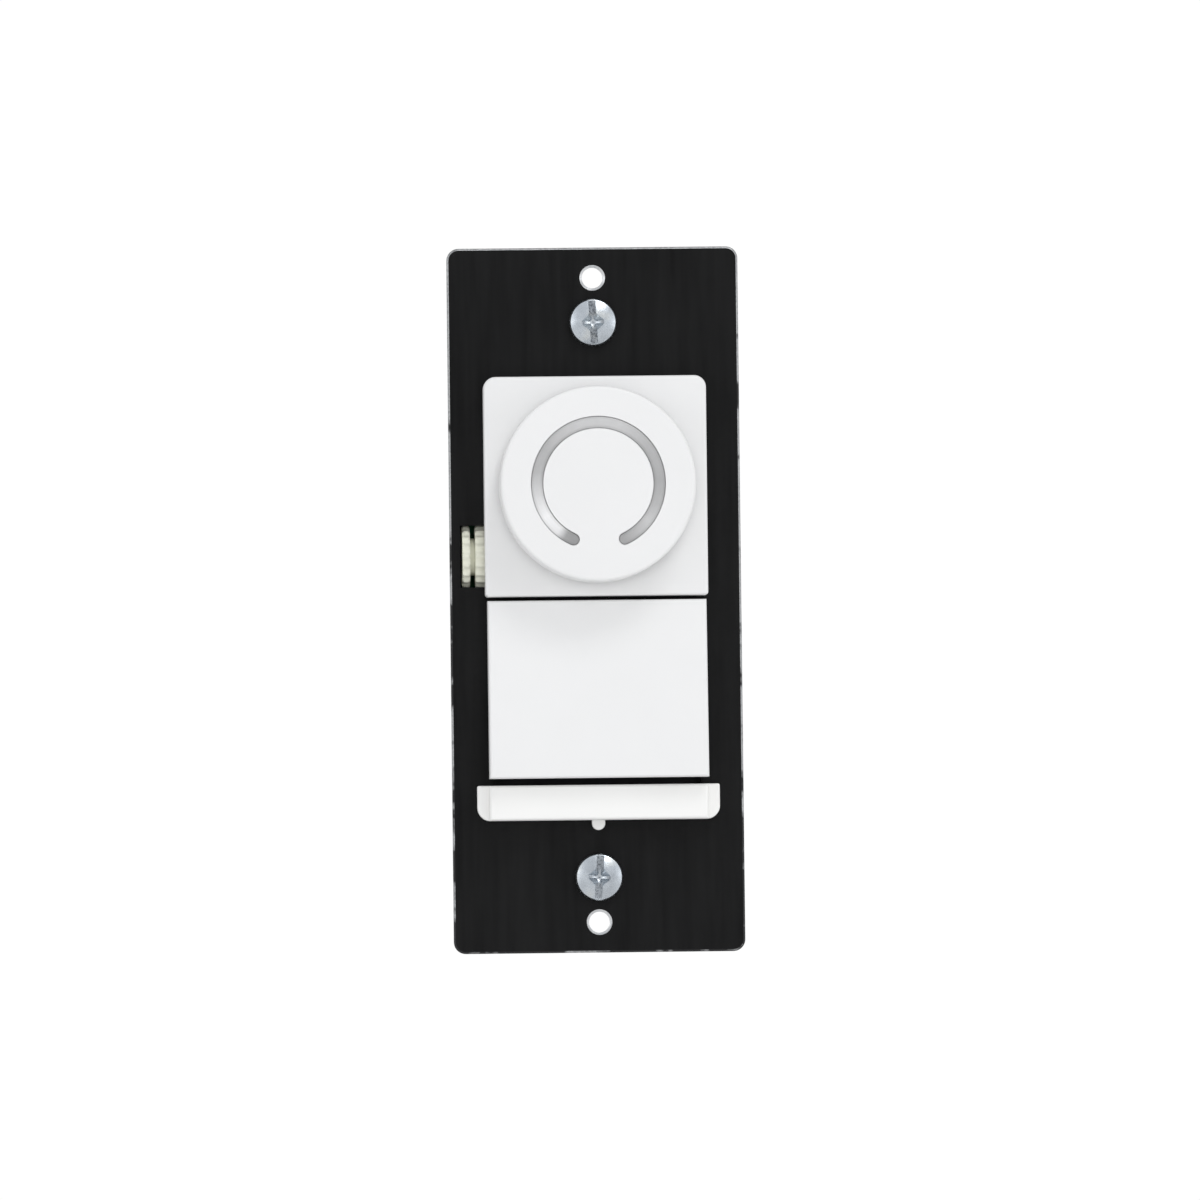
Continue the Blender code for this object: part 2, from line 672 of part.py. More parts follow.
def make_potentiometer(knob_axis):
    """Round body with a threaded bushing, its shaft with the wiper disc, and the panel nut."""
    shell = 0.0012
    bore = SHAFT_RADIUS + GAP
    body = turned(
        "potentiometer_body",
        [
            (bore, BUSHING_FRONT), (BUSHING_RADIUS, BUSHING_FRONT), (BUSHING_RADIUS, -GAP),
            (POT_RADIUS, -GAP), (POT_RADIUS, -POT_BACK), (0, -POT_BACK), (0, shell - POT_BACK),
            (POT_RADIUS - shell, shell - POT_BACK), (POT_RADIUS - shell, -GAP - shell),
            (bore, -GAP - shell), (bore, BUSHING_FRONT),
        ],
        (0, 0, KNOB_Z), FRONTWARD, 28,
    )
    finish(body, "bright_steel")
    disc_front = -0.0020
    disc_back = -0.0042
    disc_radius = POT_RADIUS - shell - GAP
    chamfer = 0.0004
    shaft = turned(
        "pot_shaft",
        [
            (0, SHAFT_FRONT), (SHAFT_RADIUS - chamfer, SHAFT_FRONT),
            (SHAFT_RADIUS, SHAFT_FRONT - chamfer), (SHAFT_RADIUS, disc_front),
            (disc_radius, disc_front), (disc_radius, disc_back), (0, disc_back),
        ],
        (0, 0, KNOB_Z), FRONTWARD, 28,
    )
    cut(shaft, box("shaft_flat", (SHAFT_FLAT, 2 * SHAFT_RADIUS), (-KNOB_FRONT, FLAT_BACK),
                   (KNOB_Z - 2 * SHAFT_RADIUS, KNOB_Z + 2 * SHAFT_RADIUS)))
    hang(finish(shaft, "bright_steel"), knob_axis)
    corner = NUT_ACROSS_FLATS / 2 / math.cos(math.pi / 6)
    nut = slab(
        "pot_nut",
        [circle((0, KNOB_Z), corner, 6), circle((0, KNOB_Z), BUSHING_RADIUS + GAP, 24)],
        (FRONT_SEAT - NUT_THICK, FRONT_SEAT),
    )
    finish(nut, "zinc_plate")


# ---------------------------------------------------------------- paddle and its switch


def side_profile(name, corners, half):
    """A (y, z) outline given a width from -half to half along X."""
    profile = slab(name, [corners], (-half, half))
    profile.data.transform(Matrix.Rotation(math.pi / 2, 4, "Z"))
    return profile


def make_paddle(paddle_axis):
    """Wedge-shaped rocker, open at the back, whose lower end stands further out."""
    lean = (PADDLE_BOTTOM_FRONT - PADDLE_TOP_FRONT) / (PADDLE_BOTTOM - PADDLE_TOP)
    paddle = side_profile(
        "paddle",
        [
            (PADDLE_TOP_FRONT, PADDLE_TOP), (PADDLE_BACK_TOP, PADDLE_TOP),
            (PADDLE_BACK_TOP, PIVOT_Z - PIN_BORE), (PADDLE_BACK_BOTTOM, PADDLE_BOTTOM),
            (PADDLE_BOTTOM_FRONT, PADDLE_BOTTOM),
        ],
        PADDLE_HALF,
    )

    def on_front(at):
        return at.y < PADDLE_TOP_FRONT + lean * (at.z - PADDLE_TOP) + GAP

    round_edges(paddle, EDGE, 2, on_front)
    top = PADDLE_TOP - WALL
    bottom = PADDLE_BOTTOM + WALL
    hollow = side_profile(
        "paddle_hollow",
        [
            (PADDLE_TOP_FRONT + lean * (top - PADDLE_TOP) + WALL, top), (0, top),
            (0, bottom), (PADDLE_TOP_FRONT + lean * (bottom - PADDLE_TOP) + WALL, bottom),
        ],
        PADDLE_HALF - WALL,
    )
    cut(paddle, hollow)
    bore_half = PIN_HALF + GAP
    cut(paddle, rod("paddle_pin_bore", PIN_BORE, (-bore_half, PIVOT_Y, PIVOT_Z),
                    (bore_half, PIVOT_Y, PIVOT_Z)))
    hang(finish(paddle, "white_plastic"), paddle_axis)


def make_pivot_pin():
    chamfer = 0.0002
    pin = turned(
        "paddle_pivot_pin",
        [
            (0, PIN_HALF), (PIN_RADIUS - chamfer, PIN_HALF), (PIN_RADIUS, PIN_HALF - chamfer),
            (PIN_RADIUS, chamfer - PIN_HALF), (PIN_RADIUS - chamfer, -PIN_HALF), (0, -PIN_HALF),
        ],
        (0, PIVOT_Y, PIVOT_Z), RIGHTWARD, 20,
    )
    finish(pin, "bright_steel")


def make_plunger(plunger_slide):
    """Pushrod with a domed head, the switch's button at its tip, and the return spring."""
    place = (0, 0, PLUNGER_Z)
    plunger = turned(
        "switch_plunger",
        [
            (0, PLUNGER_NOSE), (0.45 * PLUNGER_FLANGE_RADIUS, PLUNGER_NOSE - GAP / 3),
            (0.8 * PLUNGER_FLANGE_RADIUS, PLUNGER_FLANGE_FRONT),
            (PLUNGER_FLANGE_RADIUS, PLUNGER_FLANGE_FRONT),
            (PLUNGER_FLANGE_RADIUS, PLUNGER_FLANGE_BACK), (PLUNGER_RADIUS, PLUNGER_FLANGE_BACK),
            (PLUNGER_RADIUS, PLUNGER_TIP), (0, PLUNGER_TIP),
        ],
        place, FRONTWARD, 24,
    )
    hang(finish(plunger, "bobbin_nylon"), plunger_slide)
    button_front = PLUNGER_TIP - GAP
    chamfer = 0.0002
    button = turned(
        "push_switch_button",
        [
            (0, button_front), (BUTTON_RADIUS - chamfer, button_front),
            (BUTTON_RADIUS, button_front - chamfer), (BUTTON_RADIUS, BUTTON_BACK),
            (0, BUTTON_BACK),
        ],
        place, FRONTWARD, 20,
    )
    hang(finish(button, "bar_plastic"), plunger_slide)


def make_return_spring():
    """Open coil between the plunger's flange and the inner frame."""
    front = PLUNGER_FLANGE_BACK - GAP - SPRING_WIRE
    back = SPRING_WIRE
    points_per_turn = 12
    count = SPRING_TURNS * points_per_turn
    coil = []
    for step in range(count + 1):
        angle = 2 * math.pi * step / points_per_turn
        height = back + (front - back) * step / count
        coil.append((SPRING_RADIUS * math.cos(angle), SPRING_RADIUS * math.sin(angle), height))
    spring = wire("return_spring", coil, SPRING_WIRE, (0, 0, PLUNGER_Z), FRONTWARD)
    finish(spring, "bright_steel")


def make_push_switch():
    body = across("push_switch_body", SWITCH_HALF, (SWITCH_FRONT, BOARD_FRONT - GAP),
                  (PLUNGER_Z - SWITCH_HALF, PLUNGER_Z + SWITCH_HALF))
    round_edges(body, EDGE, 2, lambda at: at.y < SWITCH_FRONT + GAP)
    cut(body, rod("button_bore", SWITCH_BORE_RADIUS, (0, SWITCH_FRONT - EDGE, PLUNGER_Z),
                  (0, SWITCH_BORE_BACK, PLUNGER_Z)))
    finish(body, "black_epoxy")


# ---------------------------------------------------------------- service switch


def make_service_bar(service_slide):
    """Pull bar: a flat base with wings, a raised grip, a tongue below and two stems behind."""
    base = slab(
        "service_bar",
        [rounded_rectangle(BAR_HALF, BAR_BOTTOM, BAR_TOP, 0.0003, 0.0020, 5)],
        (BAR_WING_FRONT, FRONT_SEAT),
    )
    grip = across("bar_grip", BAR_RAISED_HALF, (BAR_FRONT, BAR_WING_FRONT + EDGE),
                  (BAR_BOTTOM + 2 * INSET, BAR_TOP - 2 * INSET))
    round_edges(grip, EDGE, 2, lambda at: at.y < BAR_FRONT + GAP)
    tongue_end = (0, BAR_LUG_LOW + BAR_LUG_HALF)
    tongue = slab(
        "bar_tongue",
        [[(BAR_LUG_HALF, BAR_BOTTOM + BAR_LUG_HALF), (-BAR_LUG_HALF, BAR_BOTTOM + BAR_LUG_HALF)]
         + arc_points(tongue_end, BAR_LUG_HALF, math.pi, 2 * math.pi, 8)],
        (FRONT_SEAT - TONGUE_THICK, FRONT_SEAT - 2 * INSET),
    )
    fuse(base, grip, tongue)
    for side in (-1, 1):
        x = side * STEM_X
        fuse(base, box(f"bar_stem_{side}", (x - STEM_HALF, x + STEM_HALF),
                       (FRONT_SEAT - TONGUE_THICK, STEM_BACK), (STEM_LOW, STEM_HIGH)))
    hang(finish(base, "bar_plastic"), service_slide)
    bridge = across("service_contact_bridge", BRIDGE_HALF,
                    (STEM_BACK + GAP, STEM_BACK + GAP + BRIDGE_THICK),
                    (STEM_LOW, STEM_HIGH + BRIDGE_THICK))
    hang(finish(bridge, "copper"), service_slide)


def make_fixed_contacts():
    """Two rivets on the board that the bridge joins while the bar is pushed in."""
    front = STEM_BACK + 2 * GAP + BRIDGE_THICK
    dome = 0.0004
    head_back = -front - 2 * dome
    for side, name in ((-1, "line_contact"), (1, "load_contact")):
        rivet = turned(
            name,
            [(0, -front), (0.65 * CONTACT_RADIUS, -front), (CONTACT_RADIUS, -front - dome),
             (CONTACT_RADIUS, head_back), (CONTACT_SHANK_RADIUS, head_back),
             (CONTACT_SHANK_RADIUS, GAP - BOARD_FRONT), (0, GAP - BOARD_FRONT)],
            (side * CONTACT_X, 0, (STEM_LOW + STEM_HIGH + BRIDGE_THICK) / 2), FRONTWARD, 16,
        )
        finish(rivet, "copper")


# ---------------------------------------------------------------- low-end trim


def fluted_circle(radius, flutes, depth, points_per_flute=4):
    """A round outline with shallow flutes."""
    count = flutes * points_per_flute
    outline = []
    for step in range(count):
        angle = 2 * math.pi * step / count
        wave = 0.5 - 0.5 * math.cos(flutes * angle)
        reach = radius - depth * wave
        outline.append((reach * math.cos(angle), reach * math.sin(angle)))
    return outline


def make_trim_wheel(trim_axis):
    """Two fluted rims with a groove between them, on a stub that enters the trimmer."""
    place = (0, WHEEL_Y, WHEEL_Z)
    wheel = turned(
        "trim_wheel",
        [
            (0, WHEEL_RIGHT - GAP / 4), (WHEEL_GROOVE_RADIUS, WHEEL_RIGHT - GAP / 4),
            (WHEEL_GROOVE_RADIUS, WHEEL_LEFT + GAP / 4), (0, WHEEL_LEFT + GAP / 4),
        ],
        place, RIGHTWARD, 32,
    )
    outline = fluted_circle(WHEEL_RADIUS, WHEEL_FLUTES, WHEEL_FLUTE_DEPTH)
    for name, x in (("left_rim", (WHEEL_LEFT, WHEEL_GROOVE_LEFT)),
                    ("right_rim", (WHEEL_GROOVE_RIGHT, WHEEL_RIGHT))):
        rim = slab(name, [outline], x)
        rim.data.transform(Matrix.Rotation(math.pi / 2, 4, "Z"))
        rim.data.transform(Matrix.Scale(-1, 4, (1, 0, 0)))
        rim.data.flip_normals()
        rim.location = place
        fuse(wheel, rim)
    fuse(wheel, rod("wheel_stub", WHEEL_STUB_RADIUS, (WHEEL_GROOVE_RIGHT, WHEEL_Y, WHEEL_Z),
                    (WHEEL_STUB_END, WHEEL_Y, WHEEL_Z), 16))
    hang(finish(wheel, "cream_plastic"), trim_axis)


def make_trimmer():
    body = box("trimmer_body", TRIMMER_X, (GAP, BOARD_FRONT - GAP),
               (WHEEL_Z - TRIMMER_HALF_Z, WHEEL_Z + TRIMMER_HALF_Z))
    round_edges(body, EDGE, 2, lambda at: at.x > TRIMMER_X[1] - GAP)
    cut(body, rod("stub_bore", WHEEL_STUB_RADIUS + GAP, (WHEEL_RIGHT, WHEEL_Y, WHEEL_Z),
                  (WHEEL_STUB_END + GAP, WHEEL_Y, WHEEL_Z), 16))
    finish(body, "varistor_blue")


# ---------------------------------------------------------------- power parts and board


def make_triac():
    """Power switch clamped to the strap: moulded body, metal tab and three bent legs."""
    x = (TRIAC_X - TRIAC_HALF, TRIAC_X + TRIAC_HALF)
    tab = slab("triac", [rectangle(x, (TRIAC_LOW + EDGE, TRIAC_HIGH)),
                         circle((TRIAC_X, TRIAC_HOLE_Z), TRIAC_HOLE_RADIUS, 16)],
               (TRIAC_FRONT, TRIAC_FRONT + TRIAC_TAB_THICK))
    moulding_back = TRIAC_FRONT + 0.0044
    moulding_high = TRIAC_LOW + 0.0092
    body = box("triac_moulding", (x[0] + EDGE / 4, x[1] - EDGE / 4),
               (TRIAC_FRONT + EDGE / 2, moulding_back), (TRIAC_LOW, moulding_high))
    round_edges(body, EDGE, 1, lambda at: at.y > moulding_back - GAP)
    fuse(tab, body)
    leg_low = TRIAC_LOW - 0.0030
    leg_front = 0.0032
    leg_thick = 0.0005
    leg_half = 0.0004
    for number in (-1, 0, 1):
        middle = TRIAC_X + number * TRIAC_LEG_PITCH
        down = box(f"triac_leg_{number}", (middle - leg_half, middle + leg_half),
                   (leg_front, leg_front + leg_thick), (leg_low, TRIAC_LOW + EDGE))
        foot_half = leg_half - INSET
        back = box(f"triac_foot_{number}", (middle - foot_half, middle + foot_half),
                   (leg_front + INSET, BOARD_FRONT - GAP), (leg_low + INSET, leg_low + leg_thick))
        fuse(tab, down, back)
    finish(tab, "black_epoxy")
    pad = slab(
        "triac_insulator",
        [rectangle((x[0] - EDGE / 4, x[1] + EDGE / 4), (TRIAC_LOW - EDGE, TRIAC_HIGH + EDGE)),
         circle((TRIAC_X, TRIAC_HOLE_Z), TRIAC_HOLE_RADIUS, 16)],
        (GAP, TRIAC_FRONT - GAP),
    )
    finish(pad, "insulator_pad")
    screw = screw_shape("triac_screw", 0.0026, 0.0016, 0.00125, 0.0038, 0.0006)
    screw.location = (TRIAC_X, TRIAC_FRONT + TRIAC_TAB_THICK + GAP, TRIAC_HOLE_Z)
    screw.rotation_euler = BACKWARD
    finish(screw, "zinc_plate")


def make_board():
    """Board with rounded corners and two locating holes."""
    corner = 0.0010
    hole = 0.0012
    board = slab(
        "circuit_board",
        [rounded_rectangle(BOARD_HALF, -BOARD_END, BOARD_END, corner, corner, 2),
         circle((-0.0160, 0.0260), hole, 12), circle((0.0160, -0.0240), hole, 12)],
        (BOARD_FRONT, BOARD_BACK),
    )
    finish(board, "board_green")


def make_choke():
    """Spool of enamelled wire that slows the triac's switching edge."""
    place = (0, BOARD_BACK + GAP, -0.0150)
    height = 0.0140
    flange = 0.0010
    outer = 0.0090
    core = 0.0045
    bore = 0.0015
    bobbin = turned(
        "choke_bobbin",
        [
            (bore, height), (outer, height), (outer, height - flange), (core, height - flange),
            (core, flange), (outer, flange), (outer, 0), (bore, 0), (bore, height),
        ],
        place, BACKWARD, 28,
    )
    finish(bobbin, "bobbin_nylon")
    turns = 9
    low = flange + GAP
    pitch = (height - 2 * low) / turns
    wire_radius = pitch / 2
    inset = 0.0008
    crown = outer - inset - wire_radius
    profile = [(core + GAP, height - low)]
    for turn_number in range(turns):
        middle = height - low - pitch * (turn_number + 0.5)
        for angle in (60, 0, -60):
            lift = math.radians(angle)
            profile.append((crown + wire_radius * math.cos(lift),
                            middle + 0.96 * wire_radius * math.sin(lift)))
    profile.append((core + GAP, low))
    coil = turned("choke_coil", profile, place, BACKWARD, 24, ring=True)
    finish(coil, "copper")


def make_passives():
    """Capacitors, surge absorber, resistor and trigger diode behind the board."""
    front = BOARD_BACK + GAP
    film_back = front + 0.0120
    film = across("film_capacitor", 0.0090, (front, film_back), (0.0120, 0.0200))
    round_edges(film, 2 * EDGE, 2, lambda at: at.y > film_back - GAP)
    finish(film, "capacitor_yellow")
    snubber_back = front + 0.0090
    snubber = box("snubber_capacitor", (-0.0130, -0.0025), (front, snubber_back), (0.0235, 0.0285))
    round_edges(snubber, 1.5 * EDGE, 2, lambda at: at.y > snubber_back - GAP)
    finish(snubber, "capacitor_yellow")
    disc = coated("surge_varistor", 0.0050, 0.0018, 2 * EDGE, (0.0075, front + 0.0052, 0.0260), UPWARD, 28)
    finish(disc, "varistor_blue")
    diac = coated("trigger_diac", 0.0010, 0.0022, EDGE / 2, (0.0070, front + 0.0012, 0.0055), RIGHTWARD, 14)
    finish(diac, "varistor_blue")
    finish(make_resistor(0.0016, 0.0045, (-0.0050, front + 0.0018, 0.0055)), "resistor_tan")


def coated(name, radius, half, chamfer, place, facing, steps):
    """A round dipped body with chamfered ends, centred on its place."""
    return turned(
        name,
        [(0, half), (radius - chamfer, half), (radius, half - chamfer), (radius, chamfer - half),
         (radius - chamfer, -half), (0, -half)],
        place, facing, steps,
    )


def make_resistor(cap, half, place):
    """Axial resistor body whose end caps are wider than its waist."""
    waist = 0.8 * cap
    cap_start = 0.62 * half
    waist_end = 0.5 * half
    edge = 0.9 * half
    return turned(
        "snubber_resistor",
        [(0, half), (waist, half), (cap, edge), (cap, cap_start), (waist, waist_end),
         (waist, -waist_end), (cap, -cap_start), (cap, -edge), (waist, -half), (0, -half)],
        place, RIGHTWARD, 16,
    )


# ---------------------------------------------------------------- housing and fasteners


def housing_screw_places():
    """Name, x and end (1 top, -1 bottom) of the four screws through the strap's tabs."""
    return [
        ("housing_screw_1", -TOP_SCREW_X, 1), ("housing_screw_2", TOP_SCREW_X, 1),
        ("housing_screw_3", -BOTTOM_SCREW_X, -1), ("housing_screw_4", BOTTOM_SCREW_X, -1),
    ]


def terminal_places():
    """Name, side and z of the three wire terminals."""
    return [
        ("common_terminal", 1, TERMINAL_Z), ("traveller_terminal_a", 1, -TERMINAL_Z),
        ("traveller_terminal_b", -1, -TERMINAL_Z),
    ]


def make_housing():
    """Stepped tub behind the strap, with screw bosses inside and terminal barriers outside."""
    end = HOUSING_END
    rear_end = end - BARRIER_THICK
    housing = across("rear_housing", HOUSING_HALF, (GAP, HOUSING_STEP), (-end, end))
    round_edges(housing, 2 * EDGE, 2, lambda at: at.y > HOUSING_STEP - GAP)
    rear = across("housing_rear_section", HOUSING_REAR_HALF, (HOUSING_SCREW_Y, HOUSING_REAR),
                  (-rear_end, rear_end))
    round_edges(rear, 2.5 * EDGE, 2, lambda at: at.y > HOUSING_REAR - GAP)
    fuse(housing, rear)
    for level in BARRIER_LEVELS:
        fuse(housing, across(f"terminal_barrier_{round(level * 1000)}", BARRIER_HALF,
                             (HOUSING_STEP - BARRIER_THICK, HOUSING_REAR - BARRIER_THICK),
                             (level - BARRIER_THICK / 2, level + BARRIER_THICK / 2)))
    inner_end = end - HOUSING_END_WALL
    cut(housing, across("front_hollow", HOUSING_HALF - HOUSING_WALL,
                        (-GAP, HOUSING_STEP - HOUSING_WALL), (-inner_end, inner_end)))
    cut(housing, across("rear_hollow", HOUSING_REAR_HALF - HOUSING_WALL,
                        (HOUSING_SCREW_Y, HOUSING_REAR - HOUSING_WALL), (-inner_end, inner_end)))
    for name, x, side in housing_screw_places():
        boss_ends = sorted((side * BOSS_START, side * (end - HOUSING_END_WALL / 2)))
        fuse(housing, box(name + "_boss", (x - BOSS_HALF, x + BOSS_HALF),
                          (HOUSING_SCREW_Y - BOSS_HALF, HOUSING_SCREW_Y + BOSS_HALF), boss_ends))
        cut(housing, rod(name + "_hole", BOSS_HOLE_RADIUS,
                         (x, HOUSING_SCREW_Y, side * (BOSS_START + WALL / 2)),
                         (x, HOUSING_SCREW_Y, side * (end + WALL)), 16))
    cut(housing, rod("ground_screw_hole", TERMINAL_HOLE_RADIUS,
                     (0, HOUSING_SCREW_Y, -end + HOUSING_END_WALL + WALL),
                     (0, HOUSING_SCREW_Y, -end - WALL), 16))
    cut(housing, across("frame_seat", HOUSING_HALF + WALL, (-GAP, FRAME_BACK + GAP),
                        (-end - WALL, FRAME_TOP + GAP)))
    cut(housing, box("wheel_pocket", (WHEEL_LEFT - GAP, TRIMMER_X[0] + WALL / 2),
                     (-GAP, WHEEL_Y + WHEEL_RADIUS + GAP),
                     (WHEEL_Z - WHEEL_RADIUS - GAP, WHEEL_Z + WHEEL_RADIUS + GAP)))
    for name, side, z in terminal_places():
        cut(housing, rod(name + "_hole", TERMINAL_HOLE_RADIUS,
                         (side * (HOUSING_REAR_HALF - 2 * HOUSING_WALL), TERMINAL_Y, z),
                         (side * (HOUSING_REAR_HALF + WALL), TERMINAL_Y, z), 16))
    finish(housing, "housing_plastic")


def screw_shape(name, head_radius, head_height, shank_radius, shank_length, slot_depth, steps=20):
    """A slotted pan-head screw: its head stands on local z = 0 and its shank hangs below."""
    rim = 0.35 * head_height
    point = 0.0003
    screw = turned(
        name,
        [
            (0, head_height), (0.72 * head_radius, head_height),
            (0.93 * head_radius, head_height - 0.5 * rim), (head_radius, head_height - rim),
            (head_radius, 0), (shank_radius, 0), (shank_radius, point - shank_length),
            (shank_radius - point, -shank_length), (0, -shank_length),
        ],
        (0, 0, 0), UPWARD, steps,
    )
    slot = across(name + "_slot", SLOT_HALF, (-1.3 * head_radius, 1.3 * head_radius),
                  (head_height - slot_depth, 2 * head_height))
    slot.parent = screw
    return cut(screw, slot)


def make_box_screws():
    """Captive screws that fasten the strap to the wall box, each with its fibre retainer."""
    head = 0.0020
    cross_half = 0.0018
    cross_depth = 0.0013
    retainer_half = 0.0040
    for side in (1, -1):
        name = "top" if side > 0 else "bottom"
        z = side * BOX_SCREW_Z
        screw = screw_shape("box_screw_" + name, 0.00355, head, 0.0017, 0.0280, 0.0009, 28)
        cross = across("box_screw_cross_" + name, cross_half, (-SLOT_HALF, SLOT_HALF),
                       (head - cross_depth, 2 * head))
        cross.parent = screw
        cut(screw, cross)
        screw.location = (0, FRONT_SEAT, z)
        screw.rotation_euler = FRONTWARD
        finish(screw, "zinc_plate")
        retainer = slab(
            "screw_retainer_" + name,
            [rounded_rectangle(retainer_half, z - retainer_half, z + retainer_half,
                               2 * EDGE, 2 * EDGE, 2),
             circle((0, z), BOX_SLOT_RADIUS - EDGE / 4, 20)],
            (GAP, GAP + 2 * EDGE),
        )
        finish(retainer, "fibre")


def make_housing_screws():
    for name, x, side in housing_screw_places():
        screw = screw_shape(name, 0.0022, 0.0015, 0.0013, 0.0062, 0.0006)
        screw.location = (x, HOUSING_SCREW_Y, side * (TAB_OUTER_Z + GAP))
        screw.rotation_euler = UPWARD if side > 0 else DOWNWARD
        finish(screw, "zinc_plate")
    ground = screw_shape("ground_screw", 0.0034, 0.0020, 0.0015, 0.0036, 0.0007, 24)
    ground.location = (0, HOUSING_SCREW_Y, -TAB_OUTER_Z - GAP)
    ground.rotation_euler = DOWNWARD
    finish(ground, "green_screw")


def make_terminals():
    """Clamp plate and binding screw at each wire terminal."""
    for name, side, z in terminal_places():
        seat = HOUSING_REAR_HALF + GAP
        face = seat + TERMINAL_PLATE_THICK
        front = TERMINAL_Y - TERMINAL_PLATE_HALF_Y
        plate = box(name + "_plate", sorted((side * seat, side * face)),
                    (front, TERMINAL_Y + TERMINAL_PLATE_HALF_Y),
                    (z - TERMINAL_PLATE_HALF_Z, z + TERMINAL_PLATE_HALF_Z))
        lip_ends = sorted((side * (seat + GAP), side * (face + WIRE_REST_HEIGHT)))
        lip_half = TERMINAL_PLATE_HALF_Z - INSET
        fuse(plate, box(name + "_lip", lip_ends, (front + INSET, front + TERMINAL_LIP),
                        (z - lip_half, z + lip_half)))
        cut(plate, rod(name + "_plate_hole", TERMINAL_HOLE_RADIUS,
                       (side * (seat - WALL), TERMINAL_Y, z), (side * (face + WALL), TERMINAL_Y, z), 16))
        finish(plate, "brass")
        screw = screw_shape(name + "_screw", 0.0034, 0.0021, 0.0015, 0.0036, 0.0007, 24)
        screw.location = (side * (face + GAP), TERMINAL_Y, z)
        screw.rotation_euler = RIGHTWARD if side > 0 else LEFTWARD
        finish(screw, "dark_screw" if name == "common_terminal" else "brass")


def build():
    knob_axis = axis_at("knob_axis", (0, 0, KNOB_Z))
    paddle_axis = axis_at("paddle_axis", (0, PIVOT_Y, PIVOT_Z))
    plunger_slide = axis_at("plunger_slide", (0, 0, PLUNGER_Z))
    service_slide = axis_at("service_slide", (0, 0, (BAR_TOP + BAR_BOTTOM) / 2))
    trim_axis = axis_at("trim_axis", (0, WHEEL_Y, WHEEL_Z))
    make_strap()
    make_bezel()
    make_inner_frame()
    make_knob(knob_axis)
    make_potentiometer(knob_axis)
    make_paddle(paddle_axis)
    make_pivot_pin()
    make_plunger(plunger_slide)
    make_return_spring()
    make_push_switch()
    make_service_bar(service_slide)
    make_fixed_contacts()
    make_trim_wheel(trim_axis)
    make_trimmer()
    make_triac()
    make_board()
    make_choke()
    make_passives()
    make_housing()
    make_housing_screws()
    make_box_screws()
    make_terminals()


build()
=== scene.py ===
import json
import math

import bmesh
import bpy
from mathutils import Euler, Matrix, Quaternion, Vector


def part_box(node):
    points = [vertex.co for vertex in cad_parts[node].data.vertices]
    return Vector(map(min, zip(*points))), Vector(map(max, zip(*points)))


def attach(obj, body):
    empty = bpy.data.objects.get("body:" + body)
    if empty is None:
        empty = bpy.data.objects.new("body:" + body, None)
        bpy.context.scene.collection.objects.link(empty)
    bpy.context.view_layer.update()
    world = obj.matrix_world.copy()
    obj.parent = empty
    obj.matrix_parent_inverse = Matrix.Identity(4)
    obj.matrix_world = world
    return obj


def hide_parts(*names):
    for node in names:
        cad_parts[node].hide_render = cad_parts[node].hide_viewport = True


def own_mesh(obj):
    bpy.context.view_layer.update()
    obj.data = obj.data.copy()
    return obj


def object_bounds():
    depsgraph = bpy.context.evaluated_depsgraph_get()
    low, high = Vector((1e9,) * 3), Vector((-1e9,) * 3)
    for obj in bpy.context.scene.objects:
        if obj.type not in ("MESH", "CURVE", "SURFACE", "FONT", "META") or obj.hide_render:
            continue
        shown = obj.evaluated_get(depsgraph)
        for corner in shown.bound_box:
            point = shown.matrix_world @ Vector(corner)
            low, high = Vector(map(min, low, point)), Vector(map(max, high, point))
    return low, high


# Looks for the rotary wall dimmer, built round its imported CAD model.
# Frame: +X to the user's right, +Z up, the user looks along +Y. Units are metres.

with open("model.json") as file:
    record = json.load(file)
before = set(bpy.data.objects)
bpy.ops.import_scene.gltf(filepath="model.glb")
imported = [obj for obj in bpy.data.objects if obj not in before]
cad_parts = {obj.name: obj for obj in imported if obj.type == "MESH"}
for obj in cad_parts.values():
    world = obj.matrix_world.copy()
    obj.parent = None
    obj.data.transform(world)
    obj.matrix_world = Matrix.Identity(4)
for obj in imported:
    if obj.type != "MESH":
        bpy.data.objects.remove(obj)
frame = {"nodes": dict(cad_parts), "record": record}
cad_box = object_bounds()

# ---- sizes, from the frame

MM = 0.001
RECORD = frame["record"]
BODY_OF = {node: body for body, nodes in RECORD["behaviour"]["bodies"].items() for node in nodes}
SLOT_OF = {part["node"]: part["material_slot"] for part in RECORD["subparts"]}

# The rotation that points local Z along an axis (0, 1 or 2), forwards (1) or backwards (-1).
FACING = {
    (0, 1): (0, math.pi / 2, 0), (0, -1): (0, -math.pi / 2, 0),
    (1, 1): (-math.pi / 2, 0, 0), (1, -1): (math.pi / 2, 0, 0),
    (2, 1): (0, 0, 0), (2, -1): (math.pi, 0, 0),
}
RIGHTWARD = FACING[0, 1]
FRONTWARD = FACING[1, -1]
UPWARD = FACING[2, 1]

# Edges of the pieces that keep their CAD shape.
COPY_EDGE = 0.12 * MM
COPY_SHARP_ANGLE = math.radians(40.0)

